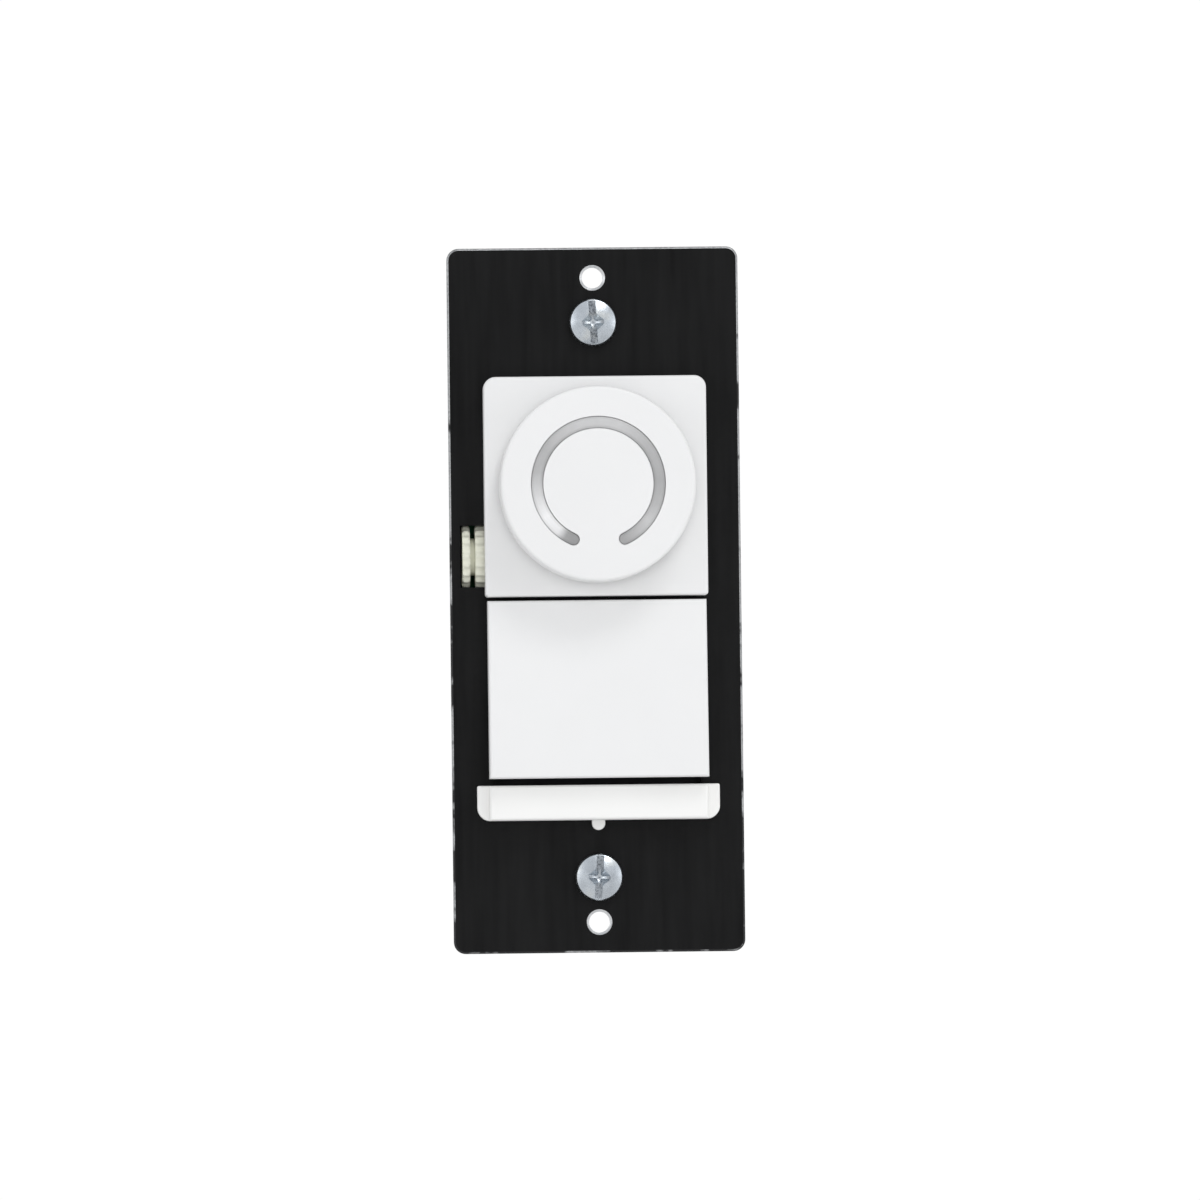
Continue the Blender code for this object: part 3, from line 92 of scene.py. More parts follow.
# Strap.
STRAP_LOW, STRAP_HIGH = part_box("heat_sink_strap")
STRAP_HALF = STRAP_HIGH.x
STRAP_END = STRAP_HIGH.z
STRAP_FRONT = STRAP_LOW.y
STRAP_CORNER = 1.8 * MM
STRAP_EDGE = 0.30 * MM
# How fast the bare share of the strap's sheared edge rises with height.
STRAP_BARE_RISE_PER_METRE = 2.0
TAB_DEPTH = STRAP_HIGH.y
TAB_INNER_Z = 32.8 * MM
TAB_OUTER_Z = TAB_INNER_Z - STRAP_FRONT
TAB_HALF = {1: 8.0 * MM, -1: 15.3 * MM}
TAB_EDGE = 0.25 * MM
GROUND_REST_X = (5.2 * MM, 8.2 * MM)
GROUND_REST_Y = (3.5 * MM, 6.5 * MM)
GROUND_REST_Z = (-TAB_OUTER_Z - 0.4 * MM, -TAB_OUTER_Z + 0.8 * MM)
TAB_HOLE_RADIUS = 1.7 * MM
GROUND_HOLE_RADIUS = 1.8 * MM
TAB_HOLES = ((-5.5 * MM, 1), (5.5 * MM, 1), (-13.0 * MM, -1), (13.0 * MM, -1))
PLATE_SCREW_Z = 48.42 * MM
BOX_SCREW_Z = (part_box("box_screw_top")[0].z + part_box("box_screw_top")[1].z) / 2
OPENING_HALF = 15.5 * MM
OPENING_TOP = -0.6 * MM
BUSHING_HOLE_RADIUS = 4.9 * MM
TRIAC_HOLE = (14.3 * MM, 22.6 * MM)
TRIAC_HOLE_RADIUS = 1.55 * MM
BOX_SLOT_HALF = 3.0 * MM
BOX_SLOT_RADIUS = 2.1 * MM
WHEEL_CLEARANCE = 0.3 * MM
TAP_RADIUS = 1.56 * MM
TAP_SINK = 0.24 * MM
TAP_MOUTH = 1.92 * MM
THREAD_PITCH = 0.794 * MM
THREAD_DEPTH = 0.18 * MM

# Return spring.
SPRING_WIRE = 0.22 * MM
SPRING_TURNS = 5

# Bezel and knob.
BEZEL_LOW, BEZEL_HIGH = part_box("front_bezel")
BEZEL_TOP_CORNER = 1.8 * MM
BEZEL_BOTTOM_CORNER = 0.5 * MM
BEZEL_EDGE = 0.45 * MM
BEZEL_WALL = 1.6 * MM
SHAFT_OPENING_RADIUS = 3.8 * MM
WHEEL_NOTCH_X = (-18 * MM, -14.8 * MM)
WHEEL_NOTCH_HALF = 4.1 * MM
LEG_CENTRES = ((-12.0 * MM, 28.0 * MM), (12.0 * MM, 28.0 * MM), (-5.5 * MM, 3.6 * MM), (5.5 * MM, 3.6 * MM))
LEG_HALF_WIDTH = 2.0 * MM
LEG_HALF_THICKNESS = 0.6 * MM
HOOK_HALF = 1.9 * MM
HOOK_REACH = 1.3 * MM
LEG_SLOT_HALF = 2.4 * MM
LEG_SLOT_BELOW = 1.6 * MM
LEG_SLOT_ABOVE = 1.2 * MM
FRONT_SEAT = STRAP_FRONT - 0.3 * MM
KNOB_LOW, KNOB_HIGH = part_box("dimmer_knob")
KNOB_Z = (KNOB_LOW.z + KNOB_HIGH.z) / 2
KNOB_RADIUS = (KNOB_HIGH.z - KNOB_LOW.z) / 2
KNOB_FRONT = -KNOB_LOW.y
KNOB_BACK = -KNOB_HIGH.y
KNOB_EDGE = 0.55 * MM
KNOB_CROWN = 0.22 * MM
KNOB_WALL = 1.7 * MM
KNOB_TOP_WALL = 2.0 * MM
KNOB_HUB_RADIUS = 5.2 * MM
KNOB_HUB_STEP = 0.6 * MM
SHAFT_BORE = 3.3 * MM
SHAFT_BORE_END = 14.7 * MM
SHAFT_FLAT = 2.35 * MM
ARC_INNER = 8.3 * MM
ARC_OUTER = 10.0 * MM
ARC_FROM = math.radians(-65.0)
ARC_TO = math.radians(245.5)
ARC_DEPTH = 0.9 * MM
ARC_GAP = 0.07 * MM
ARC_INSET = 0.02 * MM
ARC_BELOW_FACE = 0.04 * MM
ARC_CROWN = 0.14 * MM

# Paddle and service bar.
PADDLE_LOW, PADDLE_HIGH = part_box("paddle")
PADDLE_TOP_FRONT = -6.9 * MM
PADDLE_EDGE = 0.4 * MM
PADDLE_WALL = 1.6 * MM
PADDLE_BACK = -1.95 * MM
PADDLE_BOTTOM_BACK = -3.8 * MM
PIVOT = Vector((0, -3.6 * MM, -3.4 * MM))
PIN_BORE_RADIUS = 1.05 * MM
PIN_BORE_HALF = 15.9 * MM
BAR_LOW, BAR_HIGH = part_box("service_bar")
BAR_BOTTOM = -33.1 * MM
BAR_RAISED_HALF = 16.45 * MM
BAR_WING_FRONT = -4.0 * MM
BAR_EDGE = 0.45 * MM
BAR_TOP_CORNER = 0.3 * MM
BAR_BOTTOM_CORNER = 2.0 * MM
BAR_WING_EDGE = 0.26 * MM
BAR_LUG_HALF = 1.0 * MM
BAR_LUG_THICKNESS = 0.7 * MM
BAR_LUG_EDGE = 0.25 * MM
STEM_X = 5.5 * MM
STEM_HALF = 1.6 * MM
STEM_LOW = -30.2 * MM
STEM_HIGH = -28.4 * MM

# Trim wheel.
WHEEL_LOW, WHEEL_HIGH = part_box("trim_wheel")
WHEEL_RADIUS = (WHEEL_HIGH.z - WHEEL_LOW.z) / 2
WHEEL_CENTRE = Vector((0, (WHEEL_LOW.y + WHEEL_HIGH.y) / 2, (WHEEL_LOW.z + WHEEL_HIGH.z) / 2))
WHEEL_LEFT = WHEEL_LOW.x
WHEEL_GROOVE = (-18.82 * MM, -18.05 * MM)
WHEEL_RIGHT = -16.4 * MM
WHEEL_GROOVE_RADIUS = 2.8 * MM
WHEEL_FLUTES = 20
WHEEL_FLUTE_DEPTH = 0.35 * MM
WHEEL_CHAMFER = 0.25 * MM
WHEEL_STUB_RADIUS = 0.95 * MM

# Housing and screws.
HOUSING_SCREW_Y = 5.0 * MM
LABEL_FIELD_X = (-12 * MM, 12 * MM)
LABEL_FIELD_Z = (-19 * MM, 15 * MM)
LABEL_FIELD_CORNER = 1.5 * MM
LABEL_FIELD_DEPTH = 0.25 * MM
GAUGE_Z = 23 * MM
GAUGE_HALF = 6.5 * MM
GAUGE_RADIUS = 0.9 * MM
GAUGE_DEPTH = 0.40 * MM
EJECTOR_X = 14.5 * MM
EJECTOR_Z = 28 * MM
EJECTOR_RADIUS = 1.5 * MM
EJECTOR_DEPTH = 0.12 * MM
# Each kind of screw: head radius and height, shank radius, length, thread pitch, half slot width.
BOX_SCREW = (3.55 * MM, 2.0 * MM, 1.7 * MM, 28.0 * MM, THREAD_PITCH, 0.55 * MM)
HOUSING_SCREW = (2.2 * MM, 1.5 * MM, 1.3 * MM, 6.2 * MM, 0.9 * MM, 0.3 * MM)
GROUND_SCREW = (3.4 * MM, 2.0 * MM, 1.5 * MM, 3.6 * MM, THREAD_PITCH, 0.48 * MM)
TERMINAL_SCREW = (3.4 * MM, 2.1 * MM, 1.5 * MM, 3.6 * MM, THREAD_PITCH, 0.48 * MM)
TRIAC_SCREW = (2.6 * MM, 1.6 * MM, 1.25 * MM, 3.8 * MM, 0.7 * MM, 0.35 * MM)
DOME_DROP = 0.36

# Light and camera. The sky runs from straight in front of the device to straight behind it.
DARK_ROOM = (0.06, 0.065, 0.075)
SOFT_BAND = (0.74, 0.75, 0.77)
SKY_IN_FRONT = (0.32, 0.325, 0.335)
SKY_BEHIND = (1.02, 1.02, 1.02)
SKY_BANDS = [
    (0.006, DARK_ROOM), (0.020, SOFT_BAND), (0.280, SOFT_BAND),
    (0.380, SKY_IN_FRONT), (0.450, SKY_IN_FRONT), (0.620, SKY_BEHIND),
]
# Each light: name, place, size, watts, and whether it shows in reflections.
LIGHTS = [
    ("key_light", (0.45, -1.10, 1.15), 0.60, 4.5, True),
    ("front_fill", (-0.05, -1.90, 0.10), 0.60, 6.0, False),
    ("left_box", (-1.20, -0.90, 0.25), 0.70, 1.6, True),
    ("right_box", (1.25, -0.80, 0.10), 0.70, 1.6, True),
]
CAMERA_DISTANCE = 2.0
CAMERA_AZIMUTH = math.radians(-2.2)
CAMERA_ELEVATION = math.radians(-1.4)
CAMERA_ROLL = math.radians(-0.66)
CAMERA_VIEW_WIDTH = 180.45 * MM
CAMERA_TARGET = Vector((0.68 * MM, 0, 0))
SENSOR_WIDTH = 36.0


# ---- materials

MATERIALS = {}


class Finish:
    """A Principled material whose colour, roughness and bump come from procedural nodes."""

    def __init__(self, name, roughness, metallic=0.0, specular=0.5, coat=0.0):
        material = MATERIALS[name] = bpy.data.materials.new(name)
        material.use_nodes = True
        self.nodes = material.node_tree.nodes
        self.links = material.node_tree.links
        self.shader = self.nodes["Principled BSDF"]
        self.shader.inputs["Roughness"].default_value = roughness
        self.shader.inputs["Metallic"].default_value = metallic
        self.shader.inputs["Specular IOR Level"].default_value = specular
        self.shader.inputs["Coat Weight"].default_value = coat
        self.place = self.nodes.new("ShaderNodeTexCoord").outputs["Object"]

    def stretched(self, factors):
        """The coordinates scaled along each axis, so that a pattern runs one way."""
        mapping = self.nodes.new("ShaderNodeMapping")
        mapping.inputs["Scale"].default_value = factors
        self.links.new(self.place, mapping.inputs["Vector"])
        return mapping.outputs["Vector"]

    def noise(self, per_metre, detail=3.0, roughness=0.55, place=None):
        texture = self.nodes.new("ShaderNodeTexNoise")
        texture.inputs["Scale"].default_value = per_metre
        texture.inputs["Detail"].default_value = detail
        texture.inputs["Roughness"].default_value = roughness
        self.links.new(place or self.place, texture.inputs["Vector"])
        return texture.outputs["Fac"]

    def share(self, value, low, high):
        """How far a value lies from low to high, as a share of the way."""
        node = self.nodes.new("ShaderNodeMapRange")
        node.inputs["From Min"].default_value = low
        node.inputs["From Max"].default_value = high
        self.links.new(value, node.inputs["Value"])
        return node.outputs["Result"]

    def ramp(self, factor, stops):
        """A value or colour from a factor, through (position, colour) stops."""
        ramp = self.nodes.new("ShaderNodeValToRGB")
        elements = ramp.color_ramp.elements
        while len(elements) < len(stops):
            elements.new(0.5)
        for element, (position, colour) in zip(elements, stops):
            element.position = position
            element.color = (*colour, 1) if isinstance(colour, tuple) else (colour,) * 3 + (1,)
        self.links.new(factor, ramp.inputs["Fac"])
        return ramp.outputs["Color"]

    def mix(self, factor, first, second, kind="MIX"):
        node = self.nodes.new("ShaderNodeMix")
        node.data_type = "RGBA"
        node.blend_type = kind
        for name, value in (("Factor", factor), ("A", first), ("B", second)):
            socket = next(s for s in node.inputs if s.name == name and s.enabled)
            if isinstance(value, bpy.types.NodeSocket):
                self.links.new(value, socket)
            elif isinstance(value, tuple):
                socket.default_value = (*value, 1)
            else:
                socket.default_value = value
        return next(s for s in node.outputs if s.enabled)

    def colour(self, socket):
        self.links.new(socket, self.shader.inputs["Base Color"])

    def roughness(self, socket):
        self.links.new(socket, self.shader.inputs["Roughness"])

    def bump(self, height, depth):
        """Small relief. A second call lies on top of the first."""
        node = self.nodes.new("ShaderNodeBump")
        node.inputs["Distance"].default_value = depth
        self.links.new(height, node.inputs["Height"])
        earlier = self.shader.inputs["Normal"].links
        if earlier:
            self.links.new(earlier[0].from_socket, node.inputs["Normal"])
        self.links.new(node.outputs["Normal"], self.shader.inputs["Normal"])


def shade(colour, factor):
    return tuple(min(1.0, channel * factor) for channel in colour)


def moulded(name, colour, roughness, grain, depth, variation, specular=0.5):
    """Injection-moulded plastic: spark-eroded grain, faint flow clouds, uneven gloss."""
    finish = Finish(name, roughness, specular=specular)
    clouds = finish.noise(70, 2.0)
    finish.colour(finish.ramp(clouds, [
        (0.30, shade(colour, 1 - variation)), (0.70, shade(colour, 1 + variation / 2)),
    ]))
    fine = finish.noise(grain, 2.0)
    finish.roughness(finish.ramp(fine, [(0.25, roughness - 0.05), (0.75, roughness + 0.07)]))
    finish.bump(fine, depth)


def plated(name, colour, roughness, scratch_axis=(1, 1, 1), tint=None):
    """Bright plated or drawn metal with fine streaks and cloudy dulling."""
    finish = Finish(name, roughness, metallic=1.0)
    clouds = finish.noise(450, 4.0)
    finish.colour(finish.ramp(clouds, [
        (0.25, shade(colour, 0.80)), (0.52, colour), (0.80, tint or shade(colour, 1.12)),
    ]))
    streaks = finish.noise(3000, 3.0, place=finish.stretched(scratch_axis))
    finish.roughness(finish.ramp(streaks, [(0.3, roughness - 0.08), (0.7, roughness + 0.12)]))
    finish.bump(streaks, 0.004 * MM)


def anodised(name):
    """Black anodised rolled aluminium: streaks along the strap, faint grey clouds, fine pits."""
    finish = Finish(name, 0.42, specular=0.17)
    streaks = finish.noise(900, 4.0, place=finish.stretched((1.0, 1.0, 0.06)))
    clouds = finish.noise(60, 3.0)
    base = finish.ramp(streaks, [(0.30, (0.0030, 0.0030, 0.0031)), (0.72, (0.0072, 0.0072, 0.0074))])
    finish.colour(finish.mix(finish.ramp(clouds, [(0.35, 0.0), (0.75, 0.55)]), base,
                             (0.0098, 0.0098, 0.0099)))
    finish.roughness(finish.ramp(streaks, [(0.3, 0.36), (0.7, 0.50)]))
    finish.bump(streaks, 0.006 * MM)
    finish.bump(finish.noise(5200, 2.0), 0.005 * MM)


def sheared(name):
    """Sheared edge of the strap: patches of bare aluminium, more of them higher up the strap."""
    finish = Finish(name, 0.4, specular=0.3)
    patches = finish.noise(150, 3.0, roughness=0.62)
    split = finish.nodes.new("ShaderNodeSeparateXYZ")
    finish.links.new(finish.place, split.inputs[0])
    # The share of bare aluminium rises with height, so the edge shows more bare metal towards the top.
    bare_rise = finish.nodes.new("ShaderNodeMath")
    bare_rise.operation = "MULTIPLY_ADD"
    bare_rise.inputs[1].default_value = STRAP_BARE_RISE_PER_METRE
    finish.links.new(split.outputs["Z"], bare_rise.inputs[0])
    finish.links.new(patches, bare_rise.inputs[2])
    bare = finish.ramp(bare_rise.outputs[0], [(0.43, 0.0), (0.50, 1.0)])
    streaks = finish.noise(2600, 3.0, place=finish.stretched((1.0, 0.15, 1.0)))
    metal = finish.ramp(streaks, [(0.3, (0.28, 0.285, 0.29)), (0.7, (0.50, 0.505, 0.51))])
    finish.colour(finish.mix(bare, (0.018, 0.018, 0.019), metal))
    finish.links.new(bare, finish.shader.inputs["Metallic"])
    finish.roughness(finish.ramp(streaks, [(0.3, 0.30), (0.7, 0.50)]))
    finish.bump(streaks, 0.012 * MM)


def level_band(name):
    """Level arc: satin grey whose tint changes round the knob as painted light, shade and reflection, with
    a painted shade line at each side, where the gap lies.
    """
    finish = Finish(name, 0.34, specular=0.4)
    about_knob = finish.nodes.new("ShaderNodeVectorMath")
    about_knob.operation = "MULTIPLY_ADD"
    about_knob.inputs[1].default_value = (1, 0, 1)
    about_knob.inputs[2].default_value = (0, 0, -KNOB_Z)
    finish.links.new(finish.place, about_knob.inputs[0])
    split = finish.nodes.new("ShaderNodeSeparateXYZ")
    finish.links.new(about_knob.outputs[0], split.inputs[0])
    # The angle runs clockwise from straight down, so its jump falls in the arc's gap.
    angle = finish.nodes.new("ShaderNodeMath")
    angle.operation = "ARCTAN2"
    finish.links.new(split.outputs["X"], angle.inputs[0])
    finish.links.new(split.outputs["Z"], angle.inputs[1])
    # The tint stops paint light, shade and reflection onto the grey: near white at the lower-left end,
    # where the groove is lit, and darker where it lies in shade.
    tint = finish.ramp(finish.share(angle.outputs[0], -math.pi, math.pi), [
        (0.068, 0.30), (0.090, 0.34), (0.112, 0.80), (0.160, 0.88), (0.220, 0.66), (0.280, 0.46),
        (0.340, 0.44), (0.440, 0.56), (0.560, 0.58), (0.650, 0.44), (0.740, 0.40), (0.800, 0.45),
        (0.855, 0.56), (0.905, 0.44), (0.931, 0.36),
    ])
    radius = finish.nodes.new("ShaderNodeVectorMath")
    radius.operation = "LENGTH"
    finish.links.new(about_knob.outputs[0], radius.inputs[0])
    across_band = finish.share(radius.outputs["Value"], ARC_INNER, ARC_OUTER)
    # Painted shade: the band is darkened along both edges, where the gap round the insert lies in shade.
    line = finish.ramp(across_band, [(0.08, 0.86), (0.30, 1.0), (0.72, 1.0), (0.94, 0.88)])
    clouds = finish.noise(900, 2.0)
    finish.colour(finish.mix(1.0, finish.mix(0.05, tint, clouds), line, "MULTIPLY"))
    finish.roughness(finish.ramp(clouds, [(0.3, 0.28), (0.7, 0.40)]))
    finish.bump(finish.noise(4000, 2.0), 0.003 * MM)


def board_green(name):
    """Circuit board: solder mask over a faint glass weave and copper areas."""
    finish = Finish(name, 0.35, coat=0.3)
    weave = finish.nodes.new("ShaderNodeTexWave")
    weave.inputs["Scale"].default_value = 900
    weave.inputs["Distortion"].default_value = 0.6
    finish.links.new(finish.place, weave.inputs["Vector"])
    areas = finish.ramp(finish.noise(260, 1.0), [(0.49, 0.0), (0.51, 1.0)])
    finish.colour(finish.mix(areas, (0.012, 0.10, 0.035), (0.03, 0.19, 0.07)))
    finish.roughness(finish.ramp(finish.noise(800, 3.0), [(0.3, 0.28), (0.7, 0.45)]))
    finish.bump(areas, 0.02 * MM)
    finish.bump(weave.outputs["Fac"], 0.004 * MM)


def fibre(name):
    """Pressed fibre: matted strands."""
    finish = Finish(name, 0.85, specular=0.2)
    strands = finish.noise(2200, 5.0, 0.7, finish.stretched((1.0, 0.3, 0.4)))
    finish.colour(finish.ramp(strands, [(0.3, (0.20, 0.05, 0.03)), (0.7, (0.42, 0.14, 0.08))]))
    finish.bump(strands, 0.05 * MM)


def winding(name):
    """Enamelled copper wire."""
    finish = Finish(name, 0.25, metallic=1.0, coat=0.6)
    clouds = finish.noise(700, 3.0)
    finish.colour(finish.ramp(clouds, [(0.3, (0.50, 0.17, 0.05)), (0.7, (0.72, 0.30, 0.12))]))
    finish.roughness(finish.ramp(clouds, [(0.3, 0.20), (0.7, 0.36)]))
    finish.bump(finish.noise(3500, 2.0), 0.004 * MM)


moulded("white_plastic", (0.835, 0.835, 0.832), 0.40, 5200, 0.007 * MM, 0.012)
# bar_plastic: a slightly warmer white than white_plastic, and lighter than it as painted light, so the bar
# shows brighter than the paddle.
moulded("bar_plastic", (0.905, 0.903, 0.885), 0.42, 4800, 0.008 * MM, 0.015)
moulded("cream_plastic", (0.86, 0.86, 0.73), 0.46, 4200, 0.010 * MM, 0.05)
moulded("housing_plastic", (0.020, 0.020, 0.022), 0.52, 3000, 0.028 * MM, 0.10, specular=0.35)
moulded("frame_plastic", (0.014, 0.014, 0.015), 0.55, 3400, 0.020 * MM, 0.10, specular=0.3)
moulded("black_epoxy", (0.018, 0.018, 0.018), 0.55, 2600, 0.03 * MM, 0.12, specular=0.35)
moulded("insulator_pad", (0.42, 0.50, 0.54), 0.75, 3600, 0.012 * MM, 0.05, specular=0.25)
moulded("capacitor_yellow", (0.70, 0.50, 0.07), 0.33, 1500, 0.015 * MM, 0.06)
moulded("varistor_blue", (0.035, 0.09, 0.36), 0.35, 900, 0.04 * MM, 0.15)
moulded("resistor_tan", (0.58, 0.43, 0.26), 0.50, 2200, 0.02 * MM, 0.08)
moulded("bobbin_nylon", (0.55, 0.53, 0.47), 0.48, 2600, 0.015 * MM, 0.04)
plated("thread_metal", (0.80, 0.81, 0.82), 0.34)
plated("zinc_plate", (0.60, 0.645, 0.69), 0.27, (1, 1, 1), (0.72, 0.74, 0.72))
plated("bright_steel", (0.52, 0.52, 0.53), 0.28, (0.1, 1, 1))
plated("brass", (0.74, 0.53, 0.24), 0.28, (1, 0.1, 1))
plated("dark_screw", (0.05, 0.05, 0.052), 0.38)
plated("green_screw", (0.03, 0.26, 0.08), 0.36, (1, 1, 1), (0.06, 0.36, 0.12))
level_band("arc_grey")
anodised("black_anodised")
sheared("sheared_edge")
winding("copper")
board_green("board_green")
fibre("fibre")


# ---- shape tools


def linked(name, mesh):
    obj = bpy.data.objects.new(name, mesh)
    bpy.context.scene.collection.objects.link(obj)
    return obj


def mesh_of(name, shape):
    bmesh.ops.recalc_face_normals(shape, faces=shape.faces)
    mesh = bpy.data.meshes.new(name)
    shape.to_mesh(mesh)
    shape.free()
    return mesh


def block(name, x, y, z):
    """A block between the low and high value of each axis."""
    shape = bmesh.new()
    bmesh.ops.create_cube(shape, size=1.0)
    low, high = (Vector(ends) for ends in zip(x, y, z))
    bmesh.ops.scale(shape, vec=high - low, verts=shape.verts)
    bmesh.ops.translate(shape, vec=(low + high) / 2, verts=shape.verts)
    return linked(name, mesh_of(name, shape))


def across(name, half, y, z):
    """A block centred on x = 0."""
    return block(name, (-half, half), y, z)


def loft(name, rows, place=(0, 0, 0), facing=UPWARD, index=0):
    """Skins closed rings of points. A ring of one point closes an end."""
    shape = bmesh.new()
    rings = [[shape.verts.new(point) for point in row] for row in rows]
    for first, second in zip(rings, rings[1:]):
        count = max(len(first), len(second))
        for step in range(count):
            onward = (step + 1) % count
            corners = [first[step % len(first)], first[onward % len(first)],
                       second[onward % len(second)], second[step % len(second)]]
            shape.faces.new(list(dict.fromkeys(corners)))
    shape.transform(Matrix.Translation(place) @ Euler(facing).to_matrix().to_4x4())
    mesh = mesh_of(name, shape)
    mesh.polygons.foreach_set("material_index", [index] * len(mesh.polygons))
    return linked(name, mesh)


def ring(radius, height, steps, reach=None):
    """A level ring of points. reach changes the radius with the angle."""
    if radius == 0:
        return [(0, 0, height)]
    points = []
    for step in range(steps):
        angle = 2 * math.pi * step / steps
        at = radius + (reach(angle) if reach else 0)
        points.append((at * math.cos(angle), at * math.sin(angle), height))
    return points


def lathe(name, profile, place, facing, steps=96, index=0):
    """A profile of (radius, height) turned about local Z."""
    return loft(name, [ring(radius, height, steps) for radius, height in profile],
                place, facing, index)


def rod(name, radius, start, end, sides=32):
    along = Vector(end) - Vector(start)
    facing = along.to_track_quat("Z", "Y").to_euler()
    length = along.length
    return lathe(name, [(0, 0), (radius, 0), (radius, length), (0, length)], start, facing, sides)


def thread_rows(radius, depth, pitch, top, bottom, steps, per_turn=8):
    """Rings of a helical thread from top down to bottom, running out at both ends."""
    rows = []
    count = max(2, round((top - bottom) / pitch * per_turn))
    for level in range(count + 1):
        height = top - (top - bottom) * level / count
        grip = min(1.0, (top - height) / pitch, (height - bottom) / pitch)

        def reach(angle, height=height, grip=grip):
            phase = (height / pitch - angle / (2 * math.pi)) % 1.0
            return -depth * grip * min(1.0, 2.2 * abs(phase - 0.5))

        rows.append(ring(radius, height, steps, reach))
    return rows


def slab(name, loops, y):
    """Flat outlines of (x, z) points given a thickness between two Y values."""
    curve = bpy.data.curves.new(name, "CURVE")
    curve.dimensions = "2D"
    curve.fill_mode = "BOTH"
    curve.extrude = (y[1] - y[0]) / 2
    for loop in loops:
        spline = curve.splines.new("POLY")
        spline.points.add(len(loop) - 1)
        for point, (right, up) in zip(spline.points, loop):
            point.co = (right, up, 0, 1)
        spline.use_cyclic_u = True
    guide = linked(name + "_outline", curve)
    bpy.context.view_layer.update()
    graph = bpy.context.evaluated_depsgraph_get()
    mesh = bpy.data.meshes.new_from_object(guide.evaluated_get(graph))
    bpy.data.objects.remove(guide, do_unlink=True)
    shape = bmesh.new()
    shape.from_mesh(mesh)
    bmesh.ops.remove_doubles(shape, verts=shape.verts, dist=1e-7)
    shape.transform(Matrix.Rotation(FRONTWARD[0], 4, "X"))
    bmesh.ops.translate(shape, vec=(0, (y[0] + y[1]) / 2, 0), verts=shape.verts)
    bmesh.ops.dissolve_limit(shape, angle_limit=0.001, verts=shape.verts, edges=shape.edges)
    return linked(name, mesh_of(name, shape))


def settle(obj):
    """Applies the object's modifiers to its mesh."""
    bpy.context.view_layer.update()
    graph = bpy.context.evaluated_depsgraph_get()
    mesh = bpy.data.meshes.new_from_object(obj.evaluated_get(graph))
    obj.modifiers.clear()
    obj.data = mesh
    return obj


def boolean(obj, other, operation):
    modifier = obj.modifiers.new(other.name, "BOOLEAN")
    modifier.operation = operation
    modifier.solver = "EXACT"
    modifier.material_mode = "INDEX"
    modifier.object = other
    settle(obj)
    bpy.data.objects.remove(other, do_unlink=True)
    return obj


def cut(obj, *others):
    for other in others:
        boolean(obj, other, "DIFFERENCE")
    return obj


def fuse(obj, *others):
    for other in others:
        boolean(obj, other, "UNION")
    return obj


def bevelled(obj, method, width, segments):
    """Rounds the weighted edges (method WEIGHT) or all the sharp ones (method ANGLE)."""
    bevel = obj.modifiers.new("rounded_edges", "BEVEL")
    bevel.limit_method = method
    bevel.angle_limit = COPY_SHARP_ANGLE
    bevel.width = width
    bevel.segments = segments
    return settle(obj)


def round_edges(obj, width, segments, chosen):
    """Rounds the sharp edges whose two ends both satisfy chosen."""
    shape = bmesh.new()
    shape.from_mesh(obj.data)
    weight = shape.edges.layers.float.new("bevel_weight_edge")
    for edge in shape.edges:
        flat = len(edge.link_faces) == 2 and edge.calc_face_angle() < 0.3
        if not flat and all(chosen(end.co) for end in edge.verts):
            edge[weight] = 1.0
    shape.to_mesh(obj.data)
    shape.free()
    return bevelled(obj, "WEIGHT", width, segments)


def paint(obj, slots):
    """Gives the mesh its materials, and keeps the index of each face."""
    indices = [face.material_index for face in obj.data.polygons]
    obj.data.materials.clear()
    for slot in slots:
        obj.data.materials.append(MATERIALS[slot])
    obj.data.polygons.foreach_set("material_index", indices)


def dressed(obj, *nodes, slots=None, sharp=35.0, flat_axis=None):
    """Gives a piece its materials and shading and its body, and hides the CAD nodes it stands for.

    Faces square to flat_axis are shaded flat.
    """
    first = nodes[0]
    paint(obj, slots or [SLOT_OF[first]])
    obj.data.shade_smooth()
    obj.data.set_sharp_from_angle(angle=math.radians(sharp))
    if flat_axis is not None:
        for face in obj.data.polygons:
            face.use_smooth = abs(face.normal[flat_axis]) < 0.9999
    normals = obj.modifiers.new("even_normals", "WEIGHTED_NORMAL")
    normals.keep_sharp = True
    normals.weight = 90
    settle(obj)
    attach(obj, BODY_OF[first])
    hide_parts(*nodes)
    return obj


def fine_copy(node, softened=True):
    """A finer copy of a CAD node: welded, with clean flats and, if softened, small roundings."""
    mesh = frame["nodes"][node].data.copy()
    shape = bmesh.new()
    shape.from_mesh(mesh)
    bmesh.ops.remove_doubles(shape, verts=shape.verts, dist=1e-6)
    bmesh.ops.dissolve_limit(shape, angle_limit=math.radians(0.5), verts=shape.verts,
                             edges=shape.edges)
    obj = linked(node + "_finish", mesh_of(node + "_finish", shape))
    bpy.data.meshes.remove(mesh)
    return bevelled(obj, "ANGLE", COPY_EDGE, 2) if softened else obj


def arc_points(centre, radius, start, end, steps):
    """Points along an arc, both ends included."""
    angles = [start + (end - start) * step / steps for step in range(steps + 1)]
    return [(centre[0] + radius * math.cos(angle), centre[1] + radius * math.sin(angle))
            for angle in angles]


